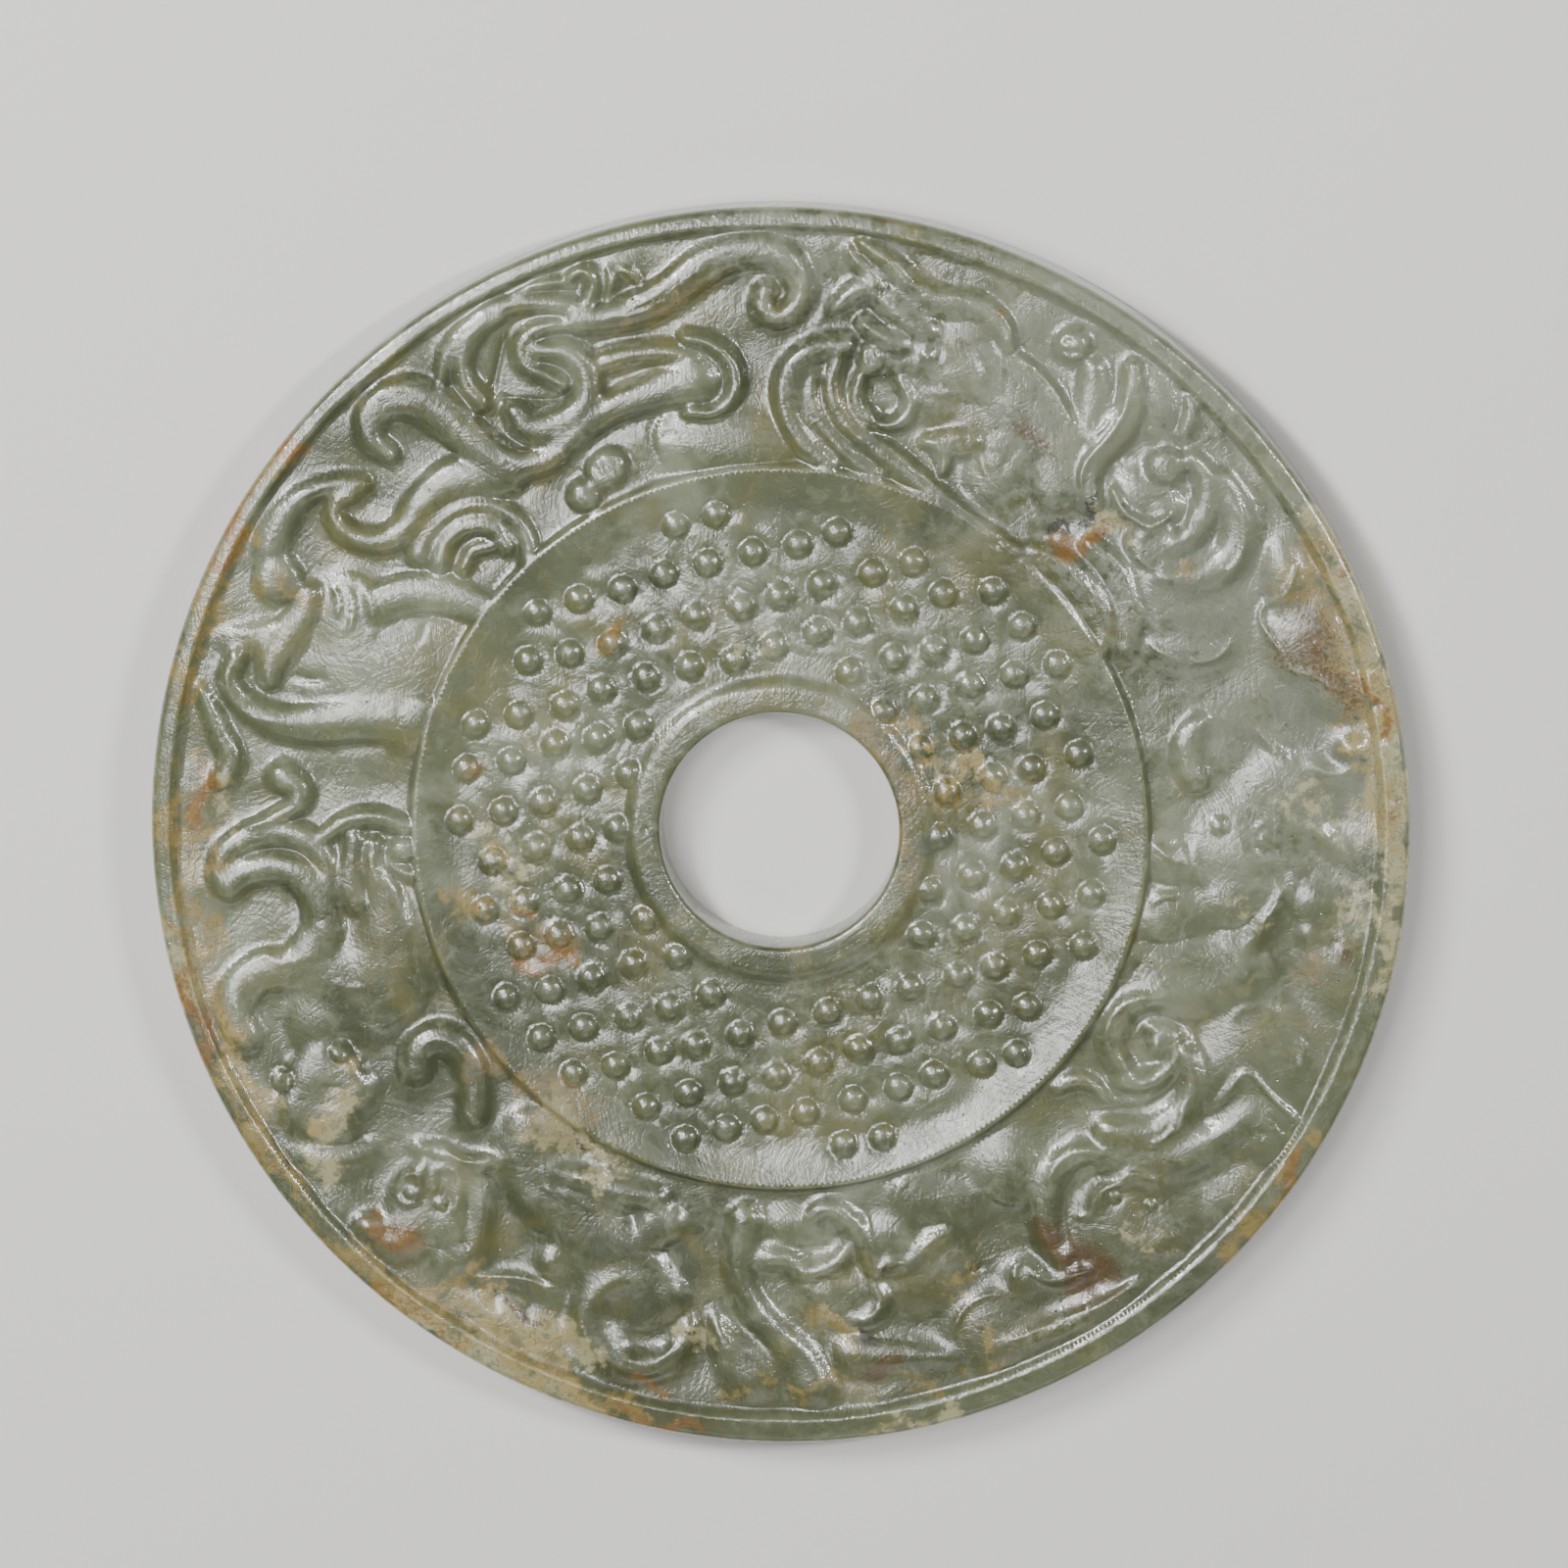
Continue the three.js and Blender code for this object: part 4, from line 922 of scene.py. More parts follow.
def faceMesh(lattice, height, tolerance, coarsest):
    # vertices (x, y, z) and triangles of one carved face, with the keys of its two edge rings
    split = splitCells(height, lattice, tolerance, coarsest)
    faces, width = cellFaces(split, meshing["turns"])
    keys, index = np.unique(faces, return_inverse=True)
    index = index.reshape(faces.shape)
    row, turn = keys // width / 2, keys % width / 2
    lowRow, lowTurn = np.floor(row).astype(int), np.floor(turn).astype(int)
    highRow = np.minimum(np.ceil(row).astype(int), len(lattice.radii) - 1)
    highTurn = np.ceil(turn).astype(int) % len(lattice.angles)
    z = (height[lowRow, lowTurn] + height[highRow, lowTurn]
         + height[lowRow, highTurn] + height[highRow, highTurn])
    radius = np.sqrt(lattice.radii[lowRow] * lattice.radii[highRow])
    angle = turn / len(lattice.angles) * 2 * math.pi
    points = np.stack([radius * np.cos(angle), radius * np.sin(angle), z / 4], 1)
    inner = np.flatnonzero(keys // width == 0)
    outer = np.flatnonzero(keys // width == 2 * (len(lattice.radii) - 1))
    return points, index, inner, outer


def zipRings(first, firstAngles, second, secondAngles):
    # triangles between two rings that may have different numbers of points
    order = [np.argsort(firstAngles), np.argsort(secondAngles)]
    rings = [first[order[0]], second[order[1]]]
    angles = [np.append(a[o], a[o][0] + 2 * math.pi) for a, o in zip((firstAngles, secondAngles), order)]
    at = [0, 0]
    counts = [len(first), len(second)]
    faces = []
    while at[0] < counts[0] or at[1] < counts[1]:
        a, b = rings[0][at[0] % counts[0]], rings[1][at[1] % counts[1]]
        if at[1] == counts[1]:
            ring = 0
        elif at[0] == counts[0]:
            ring = 1
        else:
            ring = int(angles[0][at[0] + 1] > angles[1][at[1] + 1])
        at[ring] += 1
        faces.append((a, b, rings[ring][at[ring] % counts[ring]]))
    return np.array(faces)


def roundProfile(radius, height, size, start, end, steps):
    turn = np.radians(np.linspace(start, end, steps + 1))
    return [(radius + size * math.cos(t), height + size * math.sin(t)) for t in turn]


def anglesOf(points):
    return np.arctan2(points[:, 1], points[:, 0]) % (2 * math.pi)


def wallRings(profile, start, end, sides, points, faces):
    # a wall turned along a profile from one face's edge ring to the other's
    before, beforeAngles = start, anglesOf(points[0][start])
    angles = np.arange(sides) / sides * 2 * math.pi
    for radius, height in profile:
        ring = sum(len(p) for p in points) + np.arange(sides)
        heights = np.full(sides, height)
        points.append(np.stack([radius * np.cos(angles), radius * np.sin(angles), heights], 1))
        faces.append(zipRings(before, beforeAngles, ring, angles))
        before, beforeAngles = ring, angles
    faces.append(zipRings(before, beforeAngles, end, anglesOf(np.vstack(points)[end])))


def paintedHollowShading(lattice, height, points):
    # how far each point lies below its surroundings, for painted shade that darkens the hollows
    below = blurred(blurred(height, 5, 5), 5, 5) - height
    turns = len(lattice.angles)
    radius = np.hypot(points[:, 0], points[:, 1])
    row = np.clip(np.searchsorted(lattice.radii, radius), 0, len(lattice.radii) - 1)
    turn = np.round(np.arctan2(points[:, 1], points[:, 0]) / (2 * math.pi) * turns).astype(int) % turns
    return np.clip(below / 0.35, 0, 1)[row, turn]


def buildDisc():
    d = disc
    frontLattice = latticeFor(rimEdge())
    front = frontFace(frontLattice)
    print("front relief carved")
    frontPoints, frontFaces, frontIn, frontOut = faceMesh(frontLattice, front, meshing["frontTolerance"],
                                                          meshing["frontCoarsest"])
    backLattice = latticeFor(d["radius"] - d["backRound"])
    backPoints, backFaces, backIn, backOut = faceMesh(backLattice, backFace(backLattice),
                                                      meshing["backTolerance"], meshing["backCoarsest"])
    backPoints[:, 2] = -backPoints[:, 2]
    print("back carved:", len(frontFaces), "and", len(backFaces), "triangles")
    offset = len(frontPoints)
    points = [frontPoints, backPoints]
    faces = [frontFaces, backFaces[:, ::-1] + offset]
    # the rounded edge and the wall of the hole join the two faces
    e, b, h = d["edgeRound"], d["backRound"], d["holeBevel"]
    shoulder = d["thickness"] - d["lip"] - d["rimDrop"] - e * math.cos(math.radians(d["rimLean"]))
    rimWall = roundProfile(d["radius"] - e, shoulder, e, 90 - d["rimLean"], 0, 6)[1:]
    rimWall += [(d["radius"], z) for z in np.linspace(shoulder, b, 5)[1:-1]]
    rimWall += roundProfile(d["radius"] - b, b, b, 0, -90, 6)[:-1]
    wallRings(rimWall, frontOut, backOut + offset, meshing["rimSides"], points, faces)
    holeWall = roundProfile(d["holeRadius"] + h, front[0].mean() - h, h, 90, 180, 4)[1:]
    holeWall += roundProfile(d["holeRadius"] + h, h, h, 180, 270, 4)[:-1]
    inner = []
    wallRings(holeWall, frontIn, backIn + offset, meshing["holeSides"], points, inner)
    faces += [f[:, ::-1] for f in inner]
    # painted shade: each point's depth below its surroundings, kept to darken the colour in the hollows
    paintedShade = paintedHollowShading(frontLattice, front, frontPoints)
    paintedHollowShade = np.concatenate([paintedShade, np.zeros(sum(len(p) for p in points[1:]))])
    points = np.vstack(points)
    points[:, 0], points[:, 1] = offCentre(points[:, 0], points[:, 1])
    return points, np.vstack(faces), paintedHollowShade


def addObject(name, data):
    made = bpy.data.objects.new(name, data)
    bpy.context.collection.objects.link(made)
    return made


def newMaterial(name):
    material = bpy.data.materials.new(name)
    material.use_nodes = True
    return material, material.node_tree, material.node_tree.nodes["Principled BSDF"]


def setInputs(shader, values):
    for name, value in values.items():
        shader.inputs[name].default_value = value


def jadeDisc():
    points, faces, paintedHollowShade = buildDisc()
    data = bpy.data.meshes.new("jadeDiscCarved")
    data.vertices.add(len(points))
    data.vertices.foreach_set("co", (points * mm).ravel())
    data.loops.add(faces.size)
    data.loops.foreach_set("vertex_index", faces.ravel().astype(np.int32))
    data.polygons.add(len(faces))
    data.polygons.foreach_set("loop_start", np.arange(0, faces.size, 3, dtype=np.int32))
    data.update(calc_edges=True)
    data.validate()
    data.polygons.foreach_set("use_smooth", np.ones(len(faces), bool))
    # the amounts of stain, painted light and painted shade, and the painted shade of the hollows, kept on
    # the points for the material
    for name, values in {**stainAndPaintedLightAmounts(points), "paintedHollowShade": paintedHollowShade}.items():
        data.attributes.new(name, "FLOAT", "POINT").data.foreach_set("value", values.astype(np.float32))
    piece = addObject("jade_disc_carved", data)
    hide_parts("jade_disc")
    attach(piece, "root")
    print("disc mesh:", len(points), "points,", len(faces), "triangles")
    return piece


# the kinds of stain, and of painted light and painted shade, in the order in which they lie over the stone:
# colour, strength, grain
stainAndPaintedLightKinds = {
    # the first two kinds are no stains: painted light, paler towards the upper right and the top, and
    # painted shade, darker towards the bottom
    "paintedLight": ((0.205, 0.226, 0.168, 1), 0.5, "coarse"),
    "paintedShade": ((0.05, 0.056, 0.02, 1), 0.5, "coarse"),
    "cream": ((0.42, 0.39, 0.22, 1), 0.65, "coarse"),
    "gold": ((0.27, 0.2, 0.06, 1), 0.65, "coarse"),
    "tan": ((0.2, 0.15, 0.06, 1), 0.65, "coarse"),
    "brown": ((0.08, 0.045, 0.012, 1), 0.85, "fine"),
    "rust": ((0.2, 0.092, 0.014, 1), 0.75, "fine"),
    "dark": ((0.025, 0.02, 0.018, 1), 0.85, "fine"),
}

# where they are: kind, from, to, radius, strength; the pale and dark patches of painted light and painted
# shade are among them
stainAndPaintedLightPlaces = [
    ("cream", (88, 40), (94, -8), 4.5, 0.9), ("gold", (80, 44), (90, 14), 5.0, 0.8),
    ("gold", (-93, 5), (-82, -45), 3.5, 0.8), ("cream", (-90, -20), (-80, -44), 3.0, 0.7),
    ("cream", (24, 12), (32, 8), 4.0, 0.7), ("gold", (20, 15), (34, 6), 5.0, 0.7),
    ("gold", (-80, 54), (-91, 22), 3.6, 0.8), ("cream", (-44, -2), (-40, -9), 5.0, 0.7),
    ("cream", (-36, -44), (-28, -52), 5.0, 0.8), ("gold", (-10, -88), (30, -86), 3.0, 0.5),
    ("cream", (-60, -74), (-30, -90), 3.0, 0.9), ("gold", (28, -70), (32, -82), 6.0, 0.5),
    # painted light over the upper right and the top, then painted shade over the lower parts
    ("paintedLight", (88, 8), (42, 76), 24, 1.0), ("paintedLight", (0, 92), (50, 60), 16, 0.7),
    ("paintedLight", (-20, 36), (36, 24), 12, 0.6), ("paintedShade", (-20, -92), (60, -60), 18, 0.9),
    ("paintedShade", (-40, -30), (46, -24), 16, 0.8), ("paintedShade", (-92, -20), (-60, -70), 16, 0.5),
    ("rust", (-84, 47), (-81, 53), 2.6, 1.0), ("rust", (-85, 41), (-83, 44), 2.2, 0.8),
    ("gold", (-86, 40), (-76, 60), 3.2, 0.9), ("rust", (-88.5, 9), (-88, 1), 2.0, 0.9),
    ("gold", (-89, 12), (-87, -6), 3.0, 0.7), ("cream", (-85, 8), (-83, 0), 3.0, 0.6),
    ("rust", (-91.5, -21), (-87.5, -38), 1.6, 0.9), ("gold", (-92, -14), (-78, -52), 3.0, 0.9),
    ("gold", (-68, -67), (-22, -93), 3.6, 0.85), ("rust", (-60, -62), (-57, -64), 3.6, 0.9),
    ("rust", (-63, -70), (-50, -80), 1.6, 0.65), ("cream", (-47, -74), (-31, -82), 4.0, 0.9),
    ("gold", (-50, -70), (-36, -80), 4.0, 0.8), ("dark", (-43, -74), (-37, -77), 0.8, 0.9),
    ("cream", (-17, -78), (-13, -81), 2.4, 0.9), ("dark", (-16.5, -79), (-14.5, -80), 0.8, 0.8),
    ("rust", (-22, -86), (-18, -87), 1.6, 0.8), ("cream", (-69, -43), (-70, -52), 4.6, 0.75),
    ("gold", (-66, -38), (-72, -46), 3.6, 0.6), ("tan", (-45, -36), (-30, -43), 3.6, 0.9),
    ("tan", (-42, -42), (-30, -50), 3.0, 0.7), ("dark", (-30, -49.6), (-29, -50.4), 0.9, 0.9),
    ("rust", (-40, -19.6), (-31, -20.6), 1.5, 1.0), ("tan", (-41, -15), (-33, -20), 4.0, 0.8),
    ("gold", (-49, -8), (-44, -13), 3.6, 0.7), ("rust", (-25.6, 30.7), (-25.4, 30.6), 1.7, 0.8),
    ("gold", (-25.5, 30.7), (-25, 29), 2.4, 0.8), ("tan", (-47.8, 9.8), (-47.4, 9.4), 2.2, 0.9),
    ("gold", (-44.2, -3.8), (-43, -4), 1.5, 0.9), ("rust", (-38.6, -11), (-37.6, -11.6), 1.2, 0.9),
    ("tan", (-44.8, -12.3), (-44.6, -12.5), 2.2, 0.9), ("gold", (5, -75), (9, -80), 2.6, 0.9),
    ("cream", (7, -76), (9, -78), 2.0, 0.8), ("dark", (11.4, -77.6), (12.4, -78.6), 1.2, 0.9),
    ("brown", (14, -83), (17, -84), 2.0, 0.8), ("brown", (43, -64), (49, -71), 4.2, 1.0),
    ("dark", (44, -66), (47, -69), 1.4, 0.6), ("cream", (55, -61), (59, -64), 3.0, 0.6),
    ("rust", (77, -55), (80, -51), 1.8, 0.8), ("gold", (72, -60), (82, -47), 2.4, 0.7),
    ("cream", (84, 45), (87, 36), 2.6, 0.8), ("rust", (84, 47), (86, 42), 1.5, 0.8),
    ("cream", (90, 24), (93, 10), 3.0, 1.0), ("rust", (88, 26), (92, 15), 1.3, 0.9),
    ("rust", (93, 6), (93, 3), 1.4, 0.8), ("gold", (86, 34), (93, 0), 4.0, 0.7),
    ("rust", (42, 45), (47, 46), 2.4, 1.0), ("cream", (46, 47), (51, 47), 2.8, 0.8),
    ("dark", (40, 46), (49, 51), 1.2, 0.9), ("brown", (38, 62), (40, 59), 2.4, 0.7),
    ("gold", (63, 43), (62, 40), 2.4, 0.6), ("rust", (33, 81.5), (34, 81), 1.0, 0.7),
    ("brown", (77, 33), (85, 24), 5.0, 0.75), ("tan", (78, 38), (86, 21), 4.0, 0.7),
    ("cream", (77, 7), (86, 1), 4.0, 0.55), ("cream", (71, -12), (73, -13), 3.4, 0.5),
    ("cream", (88, -8), (88, -13), 3.4, 0.6), ("brown", (84, -16), (86, -18), 1.8, 0.8),
    ("tan", (81, -21), (84, -23), 2.4, 0.8), ("tan", (12, 19), (19.5, 6), 3.4, 0.8),
    ("tan", (19.6, 4), (19, -8), 2.6, 0.6), ("gold", (24, 8), (29, 3), 3.8, 0.55),
    ("cream", (-6, 29), (-1, 28), 3.4, 0.5), ("cream", (16, 27), (38, 24), 3.6, 0.3),
    ("gold", (-60, 68), (-66, 62), 3.0, 0.35), ("gold", (-78, 38), (-70, 37), 2.8, 0.7),
    ("tan", (-22, 77), (-14, 82), 2.6, 0.6), ("cream", (95, -6), (92, 22), 3.0, 1.0),
    ("cream", (90, 33), (82, 48), 2.6, 0.9), ("cream", (94, -8), (92, -24), 2.4, 0.8),
    ("gold", (93, 18), (91, 24), 2.0, 1.1), ("gold", (-76, 58), (-84, 47), 3.0, 0.9),
    ("rust", (-73, 61), (-76, 58), 1.6, 1.0), ("cream", (-95, -12), (-92, -26), 1.8, 0.9),
    ("gold", (-86, -40), (-70, -64), 2.4, 0.7), ("rust", (-62, -72), (-56, -77), 1.4, 0.8),
    ("rust", (-24, -92), (-14, -94), 1.5, 0.8), ("cream", (-52, -80), (-40, -87), 2.2, 0.9),
    ("cream", (10, -95), (28, -91), 2.0, 0.7), ("gold", (68, -67), (75, -60), 1.8, 0.8),
]


def stainAndPaintedLightAmounts(points):
    # how strongly each kind of stain, painted light and painted shade reaches every point, fading from its
    # middle line
    amounts = {kind: np.zeros(len(points)) for kind in stainAndPaintedLightKinds}
    x, y, z = points.T
    points = np.stack([x + 1.4 * np.sin(0.8 * z + 0.5 * y), y + 1.4 * np.sin(0.7 * z + 0.6 * x)], 1)
    for kind, start, end, radius, strength in stainAndPaintedLightPlaces:
        a, b = np.array(start, float), np.array(end, float)
        way = b - a
        t = np.clip(((points - a) @ way) / max(way @ way, 1e-9), 0, 1)
        distance = np.hypot(*(points - a - t[:, None] * way).T)
        reach = strength * np.exp(-(distance / radius) ** 2)
        amounts[kind] = np.maximum(amounts[kind], reach)
    return amounts


jade = {
    "deep": (0.054, 0.064, 0.029, 1),
    "middle": (0.1, 0.114, 0.06, 1),
    "pale": (0.235, 0.255, 0.18, 1),
    "yellow": (0.15, 0.135, 0.04, 1),
    # painted shade: the colour that the hollows are darkened towards
    "paintedShadeOlive": (0.04, 0.038, 0.01, 1),
    "roughness": 0.33,
    "coat": 1.0,
    "coatRoughness": 0.07,
    "glow": 0.75,                  # light that travels under the surface
    "glowReach": 0.0032,
    # painted shade: how far the hollows are darkened towards that colour
    "paintedHollowShadeStrength": 0.22,
    "stainAndLightBreakUp": 2.2,
    "polishDepth": 0.00007,
}


def addNode(tree, kind, settings=None):
    # a new node: sockets are linked to its inputs, other values set them or its properties
    node = tree.nodes.new(kind)
    for name, value in (settings or {}).items():
        if isinstance(value, bpy.types.NodeSocket):
            tree.links.new(value, node.inputs[name])
        elif isinstance(name, int) or name in node.inputs:
            node.inputs[name].default_value = value
        else:
            setattr(node, name, value)
    return node


def newGroup(name, inputs, outputs):
    group = bpy.data.node_groups.new(name, "ShaderNodeTree")
    for label, kind, value in inputs:
        socket = group.interface.new_socket(label, in_out="INPUT", socket_type=kind)
        if value is not None:
            socket.default_value = value
    for label, kind in outputs:
        group.interface.new_socket(label, in_out="OUTPUT", socket_type=kind)
    return group, group.nodes.new("NodeGroupInput"), group.nodes.new("NodeGroupOutput")


def mapRange(tree, source, low, high, toLow=0.0, toHigh=1.0):
    settings = {"interpolation_type": "SMOOTHSTEP", "Value": source, "From Min": low, "From Max": high,
                "To Min": toLow, "To Max": toHigh}
    return addNode(tree, "ShaderNodeMapRange", settings).outputs["Result"]


def math2(tree, operation, a, b):
    return addNode(tree, "ShaderNodeMath", {"operation": operation, 0: a, 1: b}).outputs[0]


def mixColor(tree, factor, a, b):
    return addNode(tree, "ShaderNodeMix", {"data_type": "RGBA", 0: factor, 6: a, 7: b}).outputs[2]


def stoneClouds():
    # soft cloudy patches: a warped noise between two limits
    group, into, out = newGroup("stoneClouds",
                                [("Place", "NodeSocketVector", None), ("Scale", "NodeSocketFloat", 0.05),
                                 ("Low", "NodeSocketFloat", 0.4), ("High", "NodeSocketFloat", 0.65)],
                                [("Mask", "NodeSocketFloat")])
    given = into.outputs
    noise = addNode(group, "ShaderNodeTexNoise", {"Vector": given["Place"], "Scale": given["Scale"],
                                                  "Detail": 4.0, "Roughness": 0.6, "Distortion": 0.6})
    mask = mapRange(group, noise.outputs["Fac"], given["Low"], given["High"])
    group.links.new(mask, out.inputs["Mask"])
    return group


def polishLines():
    # fine curved lines left by polishing, all running one way
    group, into, out = newGroup("polishLines",
                                [("Place", "NodeSocketVector", None), ("Turn", "NodeSocketFloat", 0.0),
                                 ("Fineness", "NodeSocketFloat", 2.0)],
                                [("Height", "NodeSocketFloat")])
    given = into.outputs
    warp = addNode(group, "ShaderNodeTexNoise", {"Vector": given["Place"], "Scale": 0.09, "Detail": 2.0})

    def vectorMath(settings):
        return addNode(group, "ShaderNodeVectorMath", settings).outputs["Vector"]

    push = vectorMath({"operation": "SCALE", "Scale": 9.0, 0: warp.outputs["Color"]})
    moved = vectorMath({"operation": "ADD", 0: given["Place"], 1: push})
    turning = {"rotation_type": "Z_AXIS", "Vector": moved, "Angle": given["Turn"]}
    turned = addNode(group, "ShaderNodeVectorRotate", turning).outputs["Vector"]
    drawn = vectorMath({"operation": "MULTIPLY", 0: turned, 1: (0.09, 1.0, 0.5)})
    lines = addNode(group, "ShaderNodeTexNoise", {"Vector": drawn, "Scale": given["Fineness"],
                                                  "Detail": 3.0, "Roughness": 0.7})
    group.links.new(lines.outputs["Fac"], out.inputs["Height"])
    return group


def smallPits():
    # dark pin pricks and nicks scattered over the stone
    group, into, out = newGroup("smallPits",
                                [("Place", "NodeSocketVector", None), ("Scale", "NodeSocketFloat", 0.5),
                                 ("Size", "NodeSocketFloat", 0.1)],
                                [("Mask", "NodeSocketFloat")])
    given = into.outputs
    cells = addNode(group, "ShaderNodeTexVoronoi", {"Vector": given["Place"], "Scale": given["Scale"],
                                                    "Randomness": 1.0})
    spot = mapRange(group, cells.outputs["Distance"], given["Size"], 0.0)
    few = addNode(group, "ShaderNodeSeparateColor", {"Color": cells.outputs["Color"]})
    chosen = mapRange(group, few.outputs[0], 0.62, 0.72)
    group.links.new(math2(group, "MULTIPLY", spot, chosen), out.inputs["Mask"])
    return group


def jadeMaterial():
    material, tree, shader = newMaterial("greenJade")
    place = addNode(tree, "ShaderNodeTexCoord").outputs["Object"]
    inMillimetres = {"operation": "SCALE", "Scale": 1 / mm, 0: place}
    place = addNode(tree, "ShaderNodeVectorMath", inMillimetres).outputs[0]
    clouds, lines, pits = stoneClouds(), polishLines(), smallPits()

    def fromGroup(group, settings):
        return addNode(tree, "ShaderNodeGroup", {"node_tree": group, "Place": place, **settings}).outputs[0]

    def cloud(scale, low, high):
        return fromGroup(clouds, {"Scale": scale, "Low": low, "High": high})

    def grainNoise(settings):
        return addNode(tree, "ShaderNodeTexNoise", {"Vector": place, **settings}).outputs["Fac"]

    def attribute(name):
        return addNode(tree, "ShaderNodeAttribute", {"attribute_name": name}).outputs["Fac"]

    def stainAndPaintedLightMask(kind, grain):
        # the grain breaks up the edge of each stain and each patch of painted light and shade, but raises
        # none where there is none
        uneven = math2(tree, "MULTIPLY", math2(tree, "SUBTRACT", grain, 0.5), jade["stainAndLightBreakUp"])
        broken = mapRange(tree, math2(tree, "ADD", attribute(kind), uneven), 0.38, 0.85)
        return math2(tree, "MULTIPLY", broken, mapRange(tree, attribute(kind), 0.02, 0.45))

    def tint(color, mask, share, name):
        return mixColor(tree, math2(tree, "MULTIPLY", mask, share), color, jade[name])

    color = mixColor(tree, cloud(0.028, 0.36, 0.62), jade["deep"], jade["middle"])
    color = tint(color, cloud(0.05, 0.5, 0.72), 0.6, "pale")
    color = tint(color, cloud(0.3, 0.5, 0.74), 0.4, "pale")
    color = tint(color, cloud(0.08, 0.48, 0.7), 0.5, "yellow")
    # painted shade: the hollows darkened towards olive
    color = tint(color, attribute("paintedHollowShade"), jade["paintedHollowShadeStrength"], "paintedShadeOlive")
    grains = {"coarse": grainNoise({"Scale": 0.45, "Detail": 4.0, "Roughness": 0.65}),
              "fine": grainNoise({"Scale": 1.6, "Detail": 3.0, "Roughness": 0.7})}
    # painted light and painted shade first, then the stains, each mixed into the colour by its mask
    for kind, (stainAndLightColor, strength, grain) in stainAndPaintedLightKinds.items():
        mask = math2(tree, "MULTIPLY", stainAndPaintedLightMask(kind, grains[grain]), strength)
        color = mixColor(tree, mask, color, stainAndLightColor)
    # brown veins through the stained parts, and dark pits and nicks
    web = math2(tree, "ABSOLUTE", math2(tree, "SUBTRACT", grains["coarse"], 0.5), 0.0)
    aged = attribute("gold")
    for kind in ("rust", "cream", "tan", "brown"):
        aged = math2(tree, "MAXIMUM", aged, attribute(kind))
    web = mapRange(tree, web, 0.03, 0.0)
    veins = math2(tree, "MULTIPLY", web, mapRange(tree, aged, 0.25, 0.8))
    color = mixColor(tree, math2(tree, "MULTIPLY", veins, 0.55), color, stainAndPaintedLightKinds["brown"][0])
    spots = [fromGroup(pits, {"Scale": scale, "Size": size}) for scale, size in ((0.42, 0.11), (0.9, 0.13))]
    marks = math2(tree, "MAXIMUM", spots[0], math2(tree, "MULTIPLY", spots[1], 0.6))
    color = mixColor(tree, math2(tree, "MULTIPLY", marks, 0.75), color, stainAndPaintedLightKinds["dark"][0])
    tree.links.new(color, shader.inputs["Base Color"])

    heights = [fromGroup(lines, {"Turn": turn, "Fineness": fineness})
               for turn, fineness in ((0.3, 1.0), (1.45, 1.5), (2.5, 1.2))]
    polish = math2(tree, "ADD", math2(tree, "ADD", heights[0], heights[1]), heights[2])
    roughness = mapRange(tree, polish, 1.2, 1.8, jade["roughness"] - 0.05, jade["roughness"] + 0.17)
    tree.links.new(roughness, shader.inputs["Roughness"])
    relief = math2(tree, "SUBTRACT", polish, math2(tree, "MULTIPLY", marks, 1.5))
    bump = addNode(tree, "ShaderNodeBump", {"Strength": 1.0, "Distance": jade["polishDepth"],
                                            "Height": relief})
    tree.links.new(bump.outputs["Normal"], shader.inputs["Normal"])
    tree.links.new(bump.outputs["Normal"], shader.inputs["Coat Normal"])
    setInputs(shader, {"IOR": 1.61, "Coat Weight": jade["coat"], "Coat Roughness": jade["coatRoughness"],
                       "Subsurface Weight": jade["glow"], "Subsurface Radius": (1.0, 1.0, 0.6),
                       "Subsurface Scale": jade["glowReach"]})
    return material


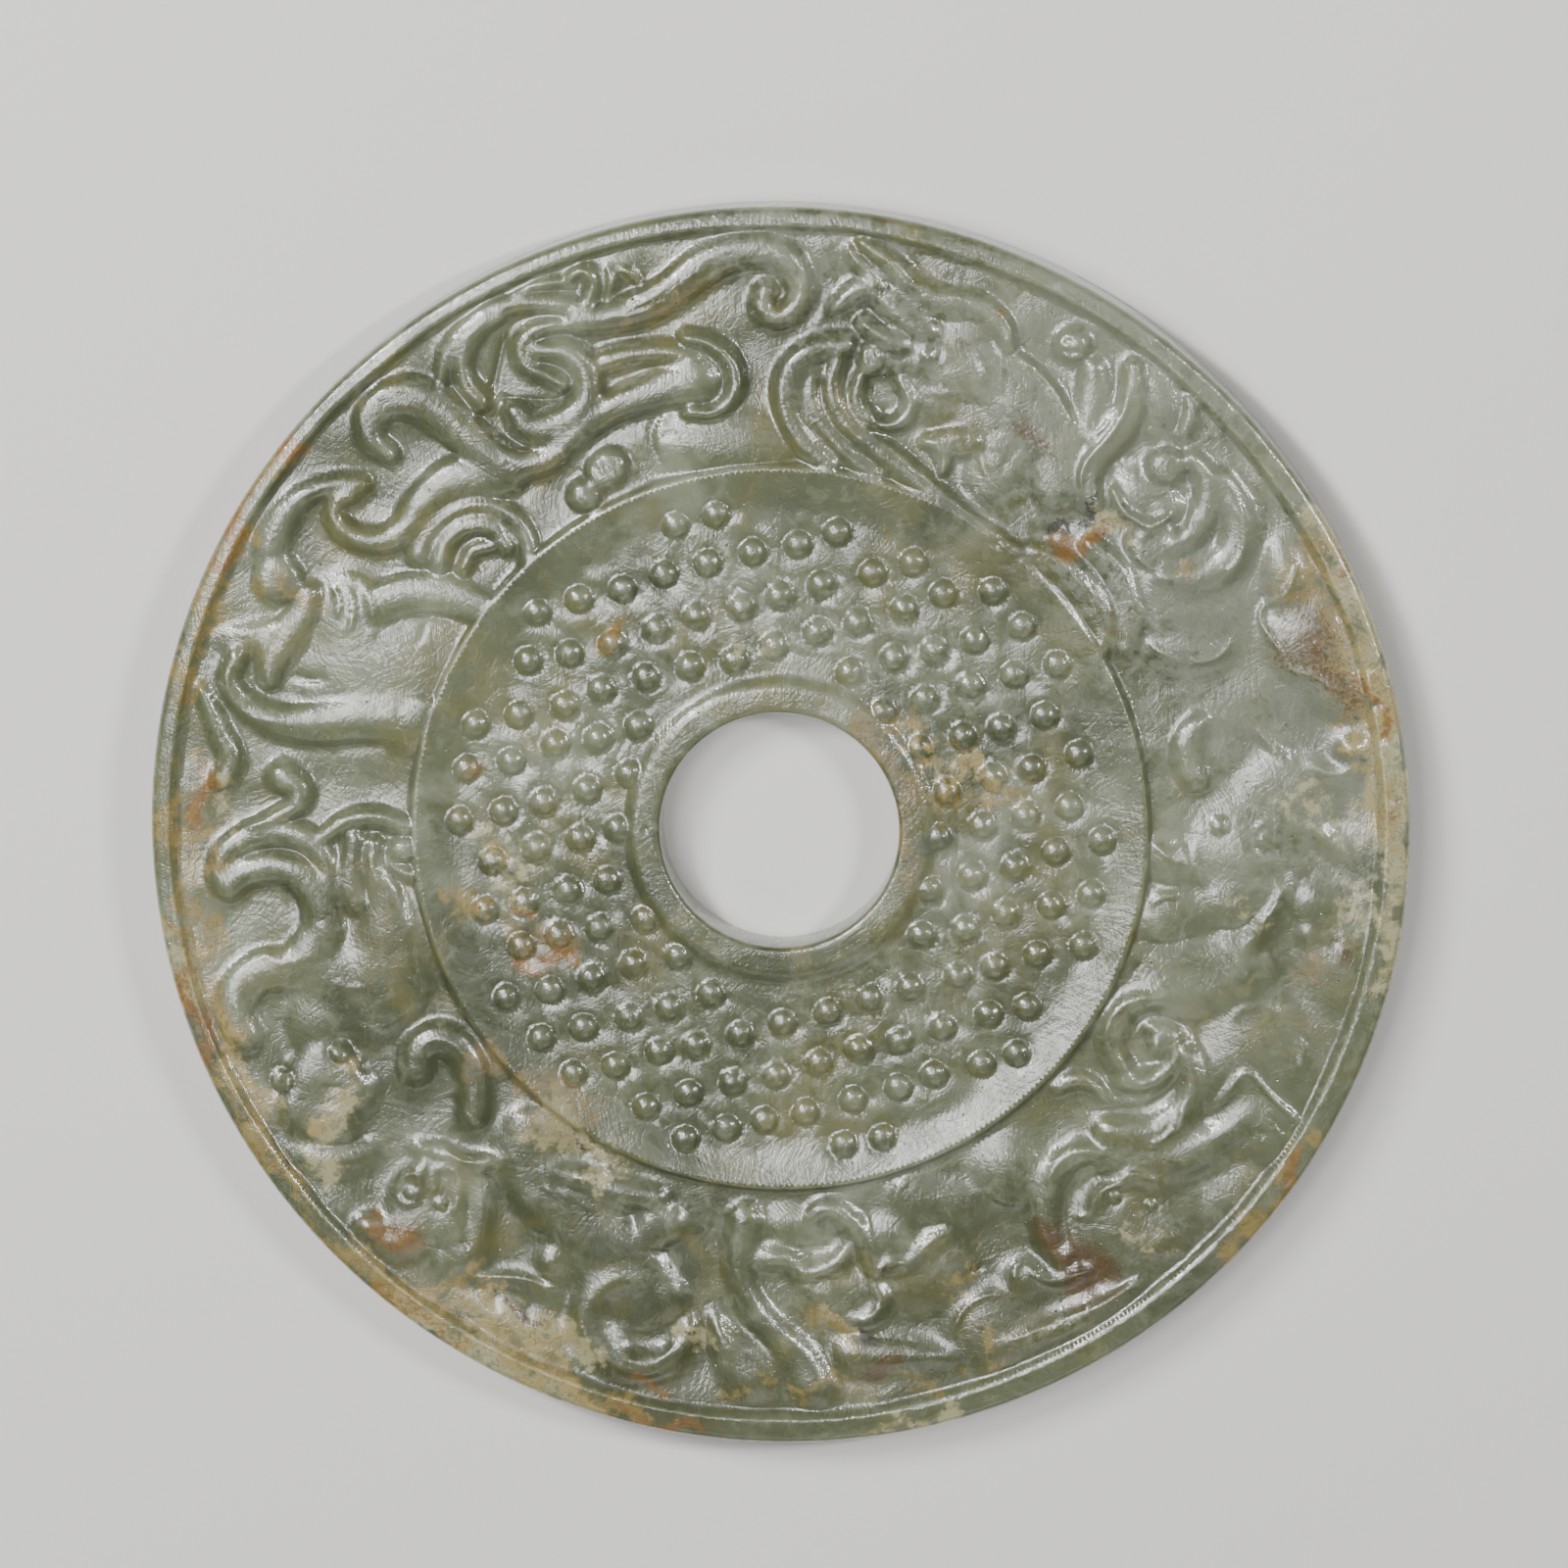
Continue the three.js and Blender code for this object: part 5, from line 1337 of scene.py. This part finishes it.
stage = {
    "floorSize": 3.0,
    "floorColor": (0.62, 0.61, 0.59, 1),
    "worldColor": (0.84, 0.84, 0.8, 1),
    "worldStrength": 0.1,
    "tilt": 11.4,                  # the camera, in degrees off the disc's axis
    "azimuth": 75,
    "distance": 1.2,
    "lens": 181.3,
    "aim": (0.00095, 0.008, 0.010),
    "lights": {                    # place, aimed at, size, power
        "softboxLeft": ((-0.31, 0.12, 1.0), (-0.31, 0.1199, 0), (0.38, 0.42), 7.4),
        "keyLeft": ((-0.62, 0.5, 0.95), (0, 0, 0), (0.12, 0.4), 14),
        "lampRight": ((0.75, 0.3, 0.95), (0, 0, 0), (0.08, 0.25), 9),
        "fillFront": ((0.2, -1.4, 1.0), (0, 0, 0), (1.2, 0.8), 3),
    },
}


def areaLight(name, place, target, size, power):
    data = bpy.data.lights.new(name, "AREA")
    data.shape = "RECTANGLE"
    data.size, data.size_y = size
    data.energy = power
    light = addObject(name, data)
    light.location = place
    light.rotation_euler = (Vector(target) - Vector(place)).to_track_quat("-Z", "Y").to_euler()
    light.visible_camera = False


def buildStage():
    bpy.ops.mesh.primitive_plane_add(size=stage["floorSize"], location=(0, 0, -0.0001))
    floor = bpy.context.object
    floor.name = "floor"
    material, _, shader = newMaterial("paleFloor")
    setInputs(shader, {"Base Color": stage["floorColor"], "Roughness": 0.8})
    floor.data.materials.append(material)
    world = bpy.data.worlds.new("softRoom")
    bpy.context.scene.world = world
    world.use_nodes = True
    setInputs(world.node_tree.nodes["Background"], {0: stage["worldColor"], 1: stage["worldStrength"]})
    for name, light in stage["lights"].items():
        areaLight(name, *light)
    data = bpy.data.cameras.new("mainView")
    data.lens = stage["lens"]
    camera = addObject("mainView", data)
    t, a = math.radians(stage["tilt"]), math.radians(stage["azimuth"])
    away = Vector((math.sin(t) * math.cos(a), math.sin(t) * math.sin(a), math.cos(t)))
    camera.location = Vector(stage["aim"]) + away * stage["distance"]
    camera.rotation_euler = Quaternion((-math.sin(a), math.cos(a), 0), t).to_euler()
    bpy.context.scene.camera = camera


jadePiece = jadeDisc()
jadePiece.data.materials.append(jadeMaterial())
buildStage()
print("stage set")
